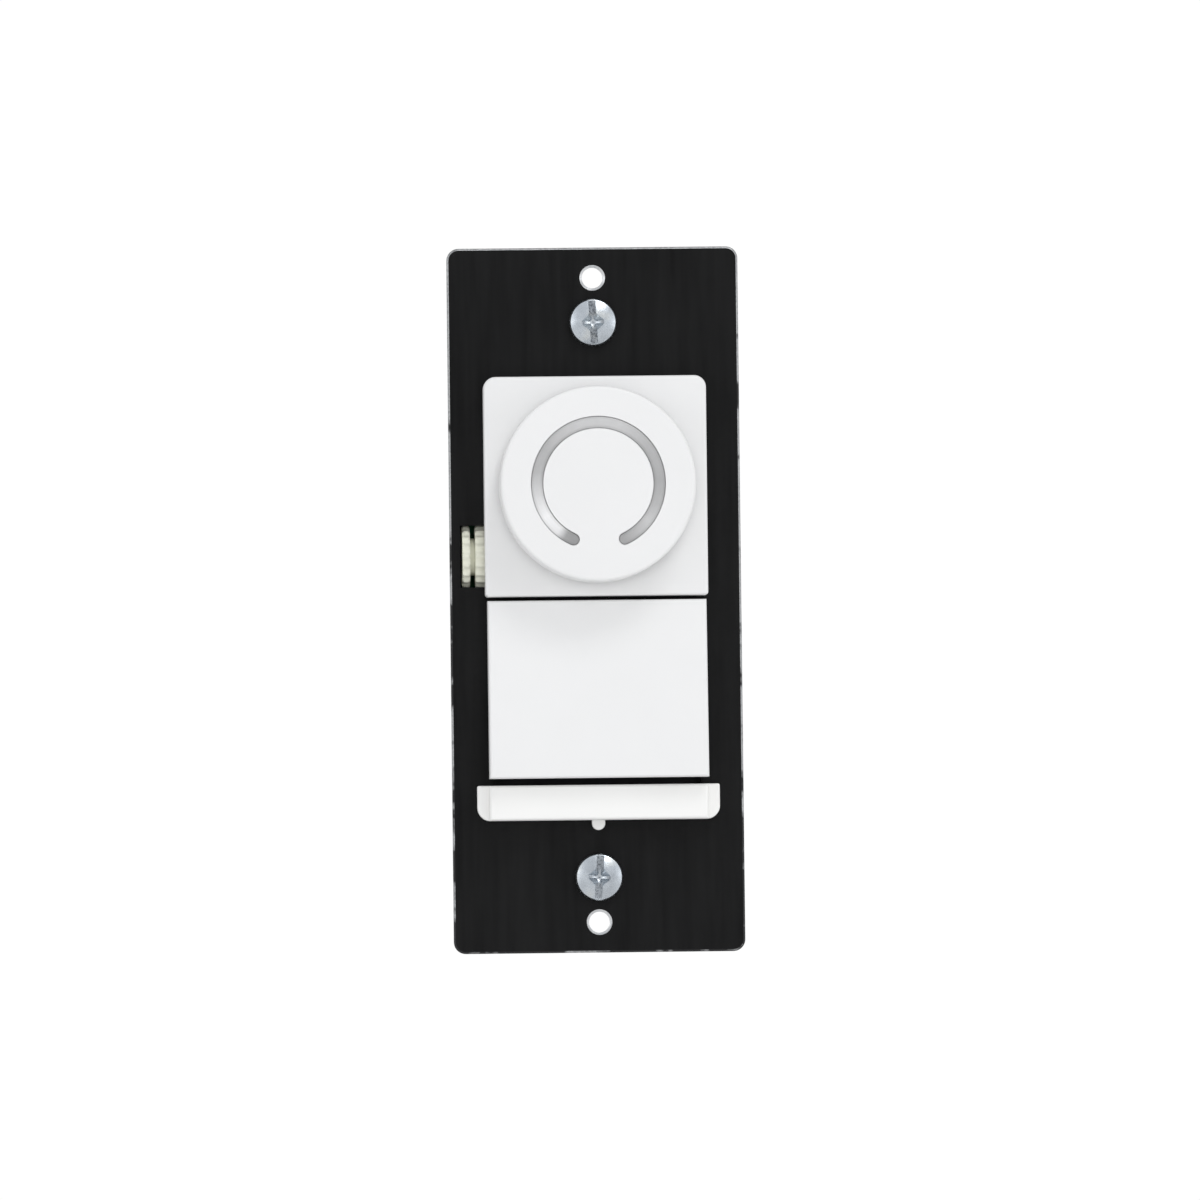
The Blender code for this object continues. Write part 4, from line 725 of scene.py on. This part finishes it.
def rounded_rectangle(x, z, top_corner, bottom_corner, steps=10):
    """An outline, counter-clockwise from its right side."""
    quarter = math.pi / 2
    corners = [
        (x[1] - top_corner, z[1] - top_corner, top_corner, 0),
        (x[0] + top_corner, z[1] - top_corner, top_corner, 1),
        (x[0] + bottom_corner, z[0] + bottom_corner, bottom_corner, 2),
        (x[1] - bottom_corner, z[0] + bottom_corner, bottom_corner, 3),
    ]
    outline = []
    for right, up, radius, turn in corners:
        outline += arc_points((right, up), radius, turn * quarter, (turn + 1) * quarter, steps)
    return outline


def rectangle(x, z):
    return [(x[0], z[0]), (x[1], z[0]), (x[1], z[1]), (x[0], z[1])]


def circle(centre, radius, sides=48):
    return arc_points(centre, radius, 0, 2 * math.pi * (sides - 1) / sides, sides - 1)


def oval(centre, half_length, radius, steps=12):
    half_turn = math.pi / 2
    reach = half_length - radius
    return (arc_points((centre[0] + reach, centre[1]), radius, -half_turn, half_turn, steps)
            + arc_points((centre[0] - reach, centre[1]), radius, half_turn, 3 * half_turn, steps))


# ---- strap


def tapped_hole(name, z):
    """Cutter for a tapped hole: a helical thread with a small countersink in front."""
    steps = 48
    front = -STRAP_FRONT
    lead = 0.43 * MM
    rows = [ring(0, front + lead, steps), ring(TAP_MOUTH + lead, front + lead, steps),
            ring(TAP_MOUTH, front, steps), ring(TAP_RADIUS, front - TAP_SINK, steps)]
    rows += thread_rows(TAP_RADIUS, -THREAD_DEPTH, THREAD_PITCH / 2, front - TAP_SINK, -lead, steps, 10)
    rows.append(ring(0, -lead, steps))
    return loft(name, rows, (0, 0, z), FRONTWARD, index=2)


def strap_holes():
    """Outlines of every plain hole in the strap's plate."""
    slot_half = math.sqrt(WHEEL_RADIUS**2 - WHEEL_CENTRE.y**2) + WHEEL_CLEARANCE
    wheel_z = WHEEL_CENTRE.z
    holes = [
        rectangle((-OPENING_HALF, OPENING_HALF), (-TAB_INNER_Z, OPENING_TOP)),
        rectangle((-TAB_HALF[1], TAB_HALF[1]), (TAB_INNER_Z - TAB_DEPTH, TAB_INNER_Z)),
        circle((0, KNOB_Z), BUSHING_HOLE_RADIUS, 64),
        rectangle((WHEEL_LEFT - WHEEL_CLEARANCE, WHEEL_RIGHT + WHEEL_CLEARANCE),
                  (wheel_z - slot_half, wheel_z + slot_half)),
        circle(TRIAC_HOLE, TRIAC_HOLE_RADIUS, 32),
    ]
    for x, z in LEG_CENTRES:
        holes.append(rectangle((x - LEG_SLOT_HALF, x + LEG_SLOT_HALF),
                               (z - LEG_SLOT_BELOW, z + LEG_SLOT_ABOVE)))
    for side in (1, -1):
        holes.append(oval((0, side * BOX_SCREW_Z), BOX_SLOT_HALF, BOX_SLOT_RADIUS))
    return holes


def on_strap_outline(at):
    """Whether a point lies at the plate's outer edge, corners included."""
    over_x = max(abs(at.x) - STRAP_HALF + STRAP_CORNER, 0)
    over_z = max(abs(at.z) - STRAP_END + STRAP_CORNER, 0)
    return math.hypot(over_x, over_z) > STRAP_CORNER - 0.4 * MM


def make_strap():
    """Plate with a bare sheared edge, its two bent tabs and its two tapped holes."""
    outline = rounded_rectangle((-STRAP_HALF, STRAP_HALF), (-STRAP_END, STRAP_END),
                                STRAP_CORNER, STRAP_CORNER)
    strap = slab("strap_plate", [outline, *strap_holes()], (STRAP_FRONT, 0))
    finishes = ["black_anodised", "sheared_edge", "thread_metal"]
    paint(strap, finishes)
    round_edges(strap, STRAP_EDGE, 3, on_strap_outline)
    edge_faces = [int(abs(face.normal.y) < 0.97 and on_strap_outline(face.center))
                  for face in strap.data.polygons]
    strap.data.polygons.foreach_set("material_index", edge_faces)
    for side in (1, -1):
        tab = across("tab", TAB_HALF[side], (STRAP_FRONT / 2, TAB_DEPTH),
                     sorted((side * TAB_INNER_Z, side * TAB_OUTER_Z)))
        round_edges(tab, TAB_EDGE, 3, lambda at: at.y > TAB_DEPTH - 0.1 * MM)
        fuse(strap, tab)
        cut(strap, tapped_hole("tapped_hole", side * PLATE_SCREW_Z))
    fuse(strap, block("ground_rest", GROUND_REST_X, GROUND_REST_Y, GROUND_REST_Z))
    holes = [(x, side, TAB_HOLE_RADIUS) for x, side in TAB_HOLES]
    holes.append((0, -1, GROUND_HOLE_RADIUS))
    for x, side, radius in holes:
        cut(strap, rod("screw_hole", radius, (x, HOUSING_SCREW_Y, side * 30 * MM),
                       (x, HOUSING_SCREW_Y, side * 36 * MM)))
    dressed(strap, "heat_sink_strap", slots=finishes, flat_axis=1)


def make_return_spring():
    """Open coil round the plunger."""
    low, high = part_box("return_spring")
    wire = SPRING_WIRE
    centre_z = (low.z + high.z) / 2
    coil_radius = high.x - wire
    front = -low.y - wire
    back = -high.y + wire
    per_turn = 40
    count = SPRING_TURNS * per_turn
    sides = 12
    rows = [[(coil_radius, 0, back)]]
    for step in range(count + 1):
        angle = 2 * math.pi * step / per_turn
        outward = Vector((math.cos(angle), math.sin(angle), 0))
        centre = outward * coil_radius + Vector((0, 0, back + (front - back) * step / count))
        row = []
        for side in range(sides):
            turn = -2 * math.pi * side / sides
            rise = Vector((0, 0, wire * math.sin(turn)))
            row.append(centre + outward * (wire * math.cos(turn)) + rise)
        rows.append(row)
    rows.append([outward * coil_radius + Vector((0, 0, front))])
    spring = loft("return_spring_coil", rows, ((low.x + high.x) / 2, 0, centre_z), FRONTWARD)
    dressed(spring, "return_spring")
    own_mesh(spring)


def make_housing():
    """Rear tub with a framed label field, ejector marks and a strip gauge moulded in its back."""
    housing = fine_copy("rear_housing")
    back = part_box("rear_housing")[1].y
    beyond = back + 1 * MM
    field = rounded_rectangle(LABEL_FIELD_X, LABEL_FIELD_Z, LABEL_FIELD_CORNER, LABEL_FIELD_CORNER)
    cut(housing, slab("label_field", [field], (back - LABEL_FIELD_DEPTH, beyond)))
    gauge = oval((0, GAUGE_Z), GAUGE_HALF, GAUGE_RADIUS)
    cut(housing, slab("strip_gauge", [gauge], (back - GAUGE_DEPTH, beyond)))
    for x in (-EJECTOR_X, EJECTOR_X):
        for z in (-EJECTOR_Z, EJECTOR_Z):
            cut(housing, rod("ejector_mark", EJECTOR_RADIUS, (x, back - EJECTOR_DEPTH, z), (x, beyond, z)))
    dressed(housing, "rear_housing", flat_axis=1)


# ---- bezel and knob


def make_bezel():
    """Hollow square cap with snap legs, notched for the trim wheel."""
    half = BEZEL_HIGH.x
    low, high = BEZEL_LOW.z, BEZEL_HIGH.z
    front = BEZEL_LOW.y
    outline = rounded_rectangle((-half, half), (low, high), BEZEL_TOP_CORNER, BEZEL_BOTTOM_CORNER)
    bezel = slab("bezel_cap", [outline], (front, FRONT_SEAT))
    round_edges(bezel, BEZEL_EDGE, 6, lambda at: at.y < front + 0.1 * MM)
    cut(bezel, across("hollow", half - BEZEL_WALL, (front + BEZEL_WALL, 1 * MM),
                      (low + BEZEL_WALL, high - BEZEL_WALL)))
    cut(bezel, rod("shaft_opening", SHAFT_OPENING_RADIUS, (0, -10 * MM, KNOB_Z), (0, -3 * MM, KNOB_Z), 48))
    wheel_z = WHEEL_CENTRE.z
    cut(bezel, block("wheel_notch", WHEEL_NOTCH_X, (WHEEL_LOW.y - 0.4 * MM, 1 * MM),
                     (wheel_z - WHEEL_NOTCH_HALF, wheel_z + WHEEL_NOTCH_HALF)))
    for x, z in LEG_CENTRES:
        outward = 1 if z > KNOB_Z else -1
        leg = block("leg", (x - LEG_HALF_WIDTH, x + LEG_HALF_WIDTH), (front + 1.0 * MM, BEZEL_HIGH.y),
                    (z - LEG_HALF_THICKNESS, z + LEG_HALF_THICKNESS))
        hook = block("hook", (x - HOOK_HALF, x + HOOK_HALF), (0.3 * MM, BEZEL_HIGH.y - 0.1 * MM),
                     sorted((z, z + outward * HOOK_REACH)))
        fuse(bezel, leg, hook)
    dressed(bezel, "front_bezel")


def arc_bead(name, half, crown, floor, steps=150):
    """The level arc as a bead with a low round top and round ends.

    crown gives the height of its surface, measured forward from the strap, at a share of its
    half width, and floor is the height of its flat back.
    """
    middle = (ARC_INNER + ARC_OUTER) / 2
    path = []
    for step in range(steps + 1):
        angle = ARC_FROM + (ARC_TO - ARC_FROM) * step / steps
        x, z = math.cos(angle), math.sin(angle)
        path.append((Vector((middle * x, middle * z)), Vector((x, z))))
    shares = [-1 + 2 * step / 12 for step in range(13)]
    end_steps = 12

    def section(centre, outward):
        points = []
        for share in shares:
            at = centre + outward * (share * half)
            points.append((at.x, -crown(abs(share)), KNOB_Z + at.y))
        for share in reversed(shares):
            at = centre + outward * (share * half)
            points.append((at.x, -floor, KNOB_Z + at.y))
        return points

    shape = bmesh.new()
    rings = [[shape.verts.new(point) for point in section(*place)] for place in path]
    for first, second in zip(rings, rings[1:]):
        for step in range(len(first)):
            onward = (step + 1) % len(first)
            shape.faces.new((first[step], first[onward], second[onward], second[step]))
    for (centre, outward), ends, way in ((path[0], rings[0], -1), (path[-1], rings[-1], 1)):
        along = Vector((-outward.y, outward.x)) * way
        count = len(shares)
        top = ends[:count]
        back = list(reversed(ends[count:]))
        middle_top = top[count // 2]
        middle_back = back[count // 2]
        levels = range(count // 2, 0, -1)
        previous_top = [top[count // 2 + level] for level in levels]
        previous_back = [back[count // 2 + level] for level in levels]
        for step in range(1, end_steps + 1):
            turn = math.pi * step / end_steps
            direction = outward * math.cos(turn) + along * math.sin(turn)
            if step == end_steps:
                next_top = [top[count // 2 - level] for level in levels]
                next_back = [back[count // 2 - level] for level in levels]
            else:
                places = [(level / (count // 2), centre + direction * (half * level / (count // 2)))
                          for level in levels]
                next_top = [shape.verts.new((at.x, -crown(share), KNOB_Z + at.y)) for share, at in places]
                next_back = [shape.verts.new((at.x, -floor, KNOB_Z + at.y)) for _, at in places]
            shape.faces.new((previous_top[0], next_top[0], next_back[0], previous_back[0]))
            for one, two, flip in ((previous_top, next_top, False), (previous_back, next_back, True)):
                for level in range(len(one) - 1):
                    shape.faces.new((one[level], one[level + 1], two[level + 1], two[level]))
                shape.faces.new((one[-1], two[-1], middle_back if flip else middle_top))
            previous_top, previous_back = next_top, next_back
    return linked(name, mesh_of(name, shape))


def face_height(radius):
    """The knob's slightly crowned face, as a height in front of the strap."""
    return KNOB_FRONT - KNOB_CROWN * (radius / KNOB_RADIUS) ** 2


def make_knob():
    """Hollow knob with a flatted hub, and the level arc in a groove in its face."""
    inside = KNOB_FRONT - KNOB_TOP_WALL
    skirt = KNOB_RADIUS - KNOB_WALL
    hub_end = KNOB_BACK + KNOB_HUB_STEP
    flat = KNOB_RADIUS - KNOB_EDGE
    profile = [(0, KNOB_FRONT)]
    profile += [(flat * step / 14, face_height(flat * step / 14)) for step in range(1, 15)]
    shoulder = face_height(flat) - KNOB_EDGE
    for step in range(1, 9):
        turn = math.pi / 2 * step / 8
        profile.append((flat + KNOB_EDGE * math.sin(turn), shoulder + KNOB_EDGE * math.cos(turn)))
    profile += [
        (KNOB_RADIUS, KNOB_BACK + 0.3 * MM), (KNOB_RADIUS - 0.3 * MM, KNOB_BACK), (skirt, KNOB_BACK),
        (skirt, inside), (KNOB_HUB_RADIUS, inside), (KNOB_HUB_RADIUS, hub_end),
        (SHAFT_BORE, hub_end), (SHAFT_BORE, SHAFT_BORE_END), (0, SHAFT_BORE_END),
    ]
    knob = lathe("knob_cap", profile, (0, 0, KNOB_Z), FRONTWARD, 176)
    fuse(knob, block("bore_flat", (SHAFT_FLAT, 4.0 * MM), (-15.2 * MM, -8.6 * MM),
                     (KNOB_Z - 2.4 * MM, KNOB_Z + 2.4 * MM)))
    half = (ARC_OUTER - ARC_INNER) / 2
    rim = face_height(ARC_OUTER)
    floor = rim - ARC_DEPTH
    cut(knob, arc_bead("arc_groove", half + ARC_GAP, lambda share: rim + 1.0 * MM, floor))
    dressed(knob, "dimmer_knob")

    def crown(share):
        return rim - ARC_BELOW_FACE - ARC_CROWN * share**2.6

    insert = arc_bead("level_arc", half - ARC_INSET, crown, floor + 0.08 * MM)
    dressed(insert, "knob_arc_insert")


# ---- paddle, bar and wheel


def side_profile(name, corners, half):
    """A (y, z) outline given a width from -half to half along X."""
    profile = slab(name, [corners], (-half, half))
    profile.data.transform(Matrix.Rotation(math.pi / 2, 4, "Z"))
    return profile


def make_paddle():
    """Hollow rocker, thicker towards its lower end, with a bore for its pin."""
    top, bottom = PADDLE_HIGH.z, PADDLE_LOW.z
    half = PADDLE_HIGH.x
    front = PADDLE_LOW.y
    lean = (front - PADDLE_TOP_FRONT) / (bottom - top)
    paddle = side_profile(
        "paddle_rocker",
        [(PADDLE_TOP_FRONT, top), (PADDLE_BACK, top), (PADDLE_BACK, PIVOT.z - 1.0 * MM),
         (PADDLE_BOTTOM_BACK, bottom), (front, bottom)],
        half,
    )

    def on_front(at):
        return at.y < PADDLE_TOP_FRONT + lean * (at.z - top) + 0.1 * MM

    round_edges(paddle, PADDLE_EDGE, 6, on_front)
    wall = PADDLE_WALL
    inner_top, inner_bottom = top - wall, bottom + wall
    hollow = side_profile(
        "hollow",
        [(PADDLE_TOP_FRONT + lean * (inner_top - top) + wall, inner_top), (1 * MM, inner_top),
         (1 * MM, inner_bottom), (PADDLE_TOP_FRONT + lean * (inner_bottom - top) + wall, inner_bottom)],
        half - wall,
    )
    cut(paddle, hollow)
    cut(paddle, rod("pin_bore", PIN_BORE_RADIUS, (-PIN_BORE_HALF, PIVOT.y, PIVOT.z),
                    (PIN_BORE_HALF, PIVOT.y, PIVOT.z)))
    dressed(paddle, "paddle")


def make_service_bar():
    """Pull bar: wings, a raised grip, a tongue below and two stems behind."""
    half = BAR_HIGH.x
    top, bottom = BAR_HIGH.z, BAR_BOTTOM
    front = BAR_LOW.y
    wings = slab("service_bar_grip",
                 [rounded_rectangle((-half, half), (bottom, top), BAR_TOP_CORNER, BAR_BOTTOM_CORNER)],
                 (BAR_WING_FRONT, FRONT_SEAT))
    round_edges(wings, BAR_WING_EDGE, 5, lambda at: at.y < BAR_WING_FRONT + 0.1 * MM)
    grip = across("grip", BAR_RAISED_HALF, (front, BAR_WING_FRONT + 1.0 * MM),
                  (bottom + 0.03 * MM, top - 0.03 * MM))
    round_edges(grip, BAR_EDGE, 6, lambda at: at.y < front + 0.1 * MM)
    lug = BAR_LUG_HALF
    tongue = slab(
        "tongue",
        [[(lug, bottom + 1.0 * MM), (-lug, bottom + 1.0 * MM)]
         + arc_points((0, BAR_LOW.z + lug), lug, math.pi, 2 * math.pi, 16)],
        (FRONT_SEAT - BAR_LUG_THICKNESS, FRONT_SEAT - 0.04 * MM),
    )
    round_edges(tongue, BAR_LUG_EDGE, 3, lambda at: at.y < FRONT_SEAT - BAR_LUG_THICKNESS + 0.1 * MM)
    fuse(wings, grip, tongue)
    for side in (-1, 1):
        x = side * STEM_X
        stem = block("stem", (x - STEM_HALF, x + STEM_HALF), (FRONT_SEAT - 1.0 * MM, BAR_HIGH.y),
                     (STEM_LOW, STEM_HIGH))
        round_edges(stem, 0.3 * MM, 2, lambda at: at.y > BAR_HIGH.y - 0.1 * MM)
        fuse(wings, stem)
    dressed(wings, "service_bar")


def make_trim_wheel():
    """Two fluted rims with a groove between them, on a stub."""
    steps = WHEEL_FLUTES * 8
    chamfer = WHEEL_CHAMFER

    def flute(share):
        return lambda angle: -WHEEL_FLUTE_DEPTH * share * (0.5 - 0.5 * math.cos(WHEEL_FLUTES * angle))

    def rim(left, right):
        return [
            ring(WHEEL_RADIUS - chamfer, left, steps, flute(0.4)),
            ring(WHEEL_RADIUS, left + chamfer, steps, flute(1)),
            ring(WHEEL_RADIUS, right - chamfer, steps, flute(1)),
            ring(WHEEL_RADIUS - chamfer, right, steps, flute(0.4)),
        ]

    stub = WHEEL_STUB_RADIUS
    rows = [ring(0, WHEEL_LEFT, steps), ring(1.2 * MM, WHEEL_LEFT, steps),
            ring(1.5 * MM, WHEEL_LEFT + 0.2 * MM, steps), ring(4.2 * MM, WHEEL_LEFT + 0.2 * MM, steps),
            ring(4.6 * MM, WHEEL_LEFT, steps)]
    rows += rim(WHEEL_LEFT, WHEEL_GROOVE[0])
    rows += [ring(WHEEL_GROOVE_RADIUS, WHEEL_GROOVE[0] + 0.02 * MM, steps),
             ring(WHEEL_GROOVE_RADIUS, WHEEL_GROOVE[1] - 0.02 * MM, steps)]
    rows += rim(WHEEL_GROOVE[1], WHEEL_RIGHT)
    rows += [ring(stub, WHEEL_RIGHT - 0.02 * MM, steps), ring(stub, WHEEL_HIGH.x - 0.2 * MM, steps),
             ring(stub - 0.2 * MM, WHEEL_HIGH.x, steps), ring(0, WHEEL_HIGH.x, steps)]
    wheel = loft("trim_thumbwheel", rows, (0, WHEEL_CENTRE.y, WHEEL_CENTRE.z), RIGHTWARD)
    dressed(wheel, "trim_wheel", sharp=28)


# ---- screws


def cross_recess(length, width, flare, top, depth):
    """Cutter for a tapered cross recess, flared between its wings, that goes down from z = top."""
    def star(share, height):
        long = length * share
        narrow = width * (0.35 + 0.65 * share)
        corner = max(narrow, flare * share)
        points = []
        for quarter in range(4):
            turn = Matrix.Rotation(quarter * math.pi / 2, 2)
            for at in ((long, -narrow), (long, narrow), (corner, corner)):
                point = turn @ Vector(at)
                points.append((point.x, point.y, height))
        return points

    over = 0.6 * MM
    rows = [[(0, 0, top + over)], star(1.25, top + over), star(1.0, top), star(0.30, top - depth),
            [(0, 0, top - depth - 0.15 * MM)]]
    return loft("recess", rows)


def make_screw(node, sizes, axis, sign, turn=0, steps=48):
    """A pan-head screw with a slot, a cross recess and a helical thread.

    It is made with its head on z = 0 and its shank below, turned by turn degrees, and placed with
    its head towards the high end of the axis if sign is 1, and the low end if sign is -1.
    """
    head_radius, head_height, shank, length, pitch, slot = sizes
    edge = 0.16 * head_height
    dome_radius = head_radius - 0.6 * edge
    drop = DOME_DROP * head_height
    profile = [(0, head_height)]
    for step in range(1, 11):
        share = step / 10
        profile.append((dome_radius * share, head_height - drop * share**2))
    profile += [(head_radius, head_height - drop - edge), (head_radius, edge),
                (head_radius - 0.6 * edge, 0), (shank + 0.25 * MM, 0), (shank, -0.25 * MM)]
    rows = [ring(radius, height, steps) for radius, height in profile]
    rows += thread_rows(shank, 0.13 * shank, pitch, -0.4 * MM, 0.5 * MM - length, steps)
    rows += [ring(shank - 0.35 * MM, -length, steps), ring(0, -length, steps)]
    screw = loft(node + "_finish", rows)
    depth = 0.33 * head_height
    over = 0.8 * MM
    cut(screw, block("slot", (-slot, slot), (-1.3 * head_radius, 1.3 * head_radius),
                     (head_height - depth, head_height + over)))
    cut(screw, cross_recess(0.52 * head_radius, 0.5 * slot, 0.27 * head_radius, head_height,
                            0.62 * head_height))
    place = Matrix.Translation(underside(node, axis, sign, head_height))
    facing = Euler(FACING[axis, sign]).to_matrix().to_4x4()
    screw.data.transform(place @ facing @ Matrix.Rotation(math.radians(turn), 4, "Z"))
    dressed(screw, node, sharp=32)


def underside(node, axis, sign, head_height):
    """Where a screw's head meets its seat: its box, less the head's height, on its axis."""
    low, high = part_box(node)
    place = (low + high) / 2
    outer = high if sign > 0 else low
    place[axis] = outer[axis] - sign * head_height
    return place


def make_screws():
    make_screw("box_screw_top", BOX_SCREW, 1, -1, turn=3)
    make_screw("box_screw_bottom", BOX_SCREW, 1, -1, turn=-4)
    for number, (side, turn) in enumerate(((1, 20), (1, -35), (-1, 60), (-1, 10)), 1):
        make_screw(f"housing_screw_{number}", HOUSING_SCREW, 2, side, turn, steps=36)
    make_screw("ground_screw", GROUND_SCREW, 2, -1, turn=25)
    make_screw("common_terminal_screw", TERMINAL_SCREW, 0, 1, turn=15)
    make_screw("traveller_terminal_a_screw", TERMINAL_SCREW, 0, 1, turn=-50)
    make_screw("traveller_terminal_b_screw", TERMINAL_SCREW, 0, -1, turn=80)
    make_screw("triac_screw", TRIAC_SCREW, 1, 1, steps=36)


# ---- floor, light and camera


def make_stage():
    """Pale round floor below the device, soft sky all round, and a soft key light."""
    shape = bmesh.new()
    bmesh.ops.create_circle(shape, cap_ends=True, segments=128, radius=1.2)
    floor = linked("floor", mesh_of("floor", shape))
    floor.location = (0, 0, cad_box[0].z - 0.067)
    finish = Finish("floor", 0.8, specular=0.2)
    finish.colour(finish.ramp(finish.noise(2.0, 3.0), [(0.3, 0.80), (0.7, 0.84)]))
    floor.data.materials.append(MATERIALS["floor"])

    world = bpy.data.worlds.new("pale_sky")
    world.use_nodes = True
    nodes = world.node_tree.nodes
    links = world.node_tree.links
    direction = nodes.new("ShaderNodeTexCoord").outputs["Generated"]
    split = nodes.new("ShaderNodeSeparateXYZ")
    links.new(direction, split.inputs[0])
    depth = nodes.new("ShaderNodeMapRange")
    depth.inputs["From Min"].default_value = -1.0
    links.new(split.outputs["Y"], depth.inputs["Value"])
    ramp = nodes.new("ShaderNodeValToRGB")
    bands = ramp.color_ramp.elements
    bands.remove(bands[1])
    bands[0].position = SKY_BANDS[0][0]
    bands[0].color = (*SKY_BANDS[0][1], 1)
    for position, colour in SKY_BANDS[1:]:
        bands.new(position).color = (*colour, 1)
    links.new(depth.outputs["Result"], ramp.inputs["Fac"])
    links.new(ramp.outputs["Color"], nodes["Background"].inputs["Color"])
    bpy.context.scene.world = world

    for name, place, size, watts, mirrored in LIGHTS:
        light = bpy.data.lights.new(name, "AREA")
        light.shape = "DISK"
        light.size = size
        light.energy = watts
        lamp = linked(name, light)
        lamp.location = place
        lamp.rotation_euler = (-Vector(place)).to_track_quat("-Z", "Y").to_euler()
        lamp.visible_camera = False
        lamp.visible_glossy = mirrored


def make_camera():
    """Long lens, a little to the left of the device and a little below it."""
    level = math.cos(CAMERA_ELEVATION)
    back = Vector((math.sin(CAMERA_AZIMUTH) * level, -math.cos(CAMERA_AZIMUTH) * level,
                   math.sin(CAMERA_ELEVATION)))
    data = bpy.data.cameras.new("camera")
    data.sensor_width = SENSOR_WIDTH
    data.lens = SENSOR_WIDTH * CAMERA_DISTANCE / CAMERA_VIEW_WIDTH
    data.clip_start = 0.05
    data.clip_end = 50.0
    camera = linked("camera", data)
    camera.location = CAMERA_TARGET + back * CAMERA_DISTANCE
    camera.rotation_mode = "QUATERNION"
    roll = Quaternion((0, 0, 1), CAMERA_ROLL)
    camera.rotation_quaternion = (-back).to_track_quat("-Z", "Y") @ roll
    bpy.context.scene.camera = camera
    bpy.context.scene.view_settings.view_transform = "Standard"


def dress_remaining():
    """Refines every CAD node that no piece has replaced yet."""
    plain = [name for name, node in frame["nodes"].items() if not node.hide_render]
    for name in sorted(plain):
        dressed(fine_copy(name, softened=not name.endswith("_plate")), name)


make_strap()
make_bezel()
make_knob()
make_paddle()
make_service_bar()
make_trim_wheel()
make_screws()
make_return_spring()
make_housing()
dress_remaining()
make_stage()
make_camera()
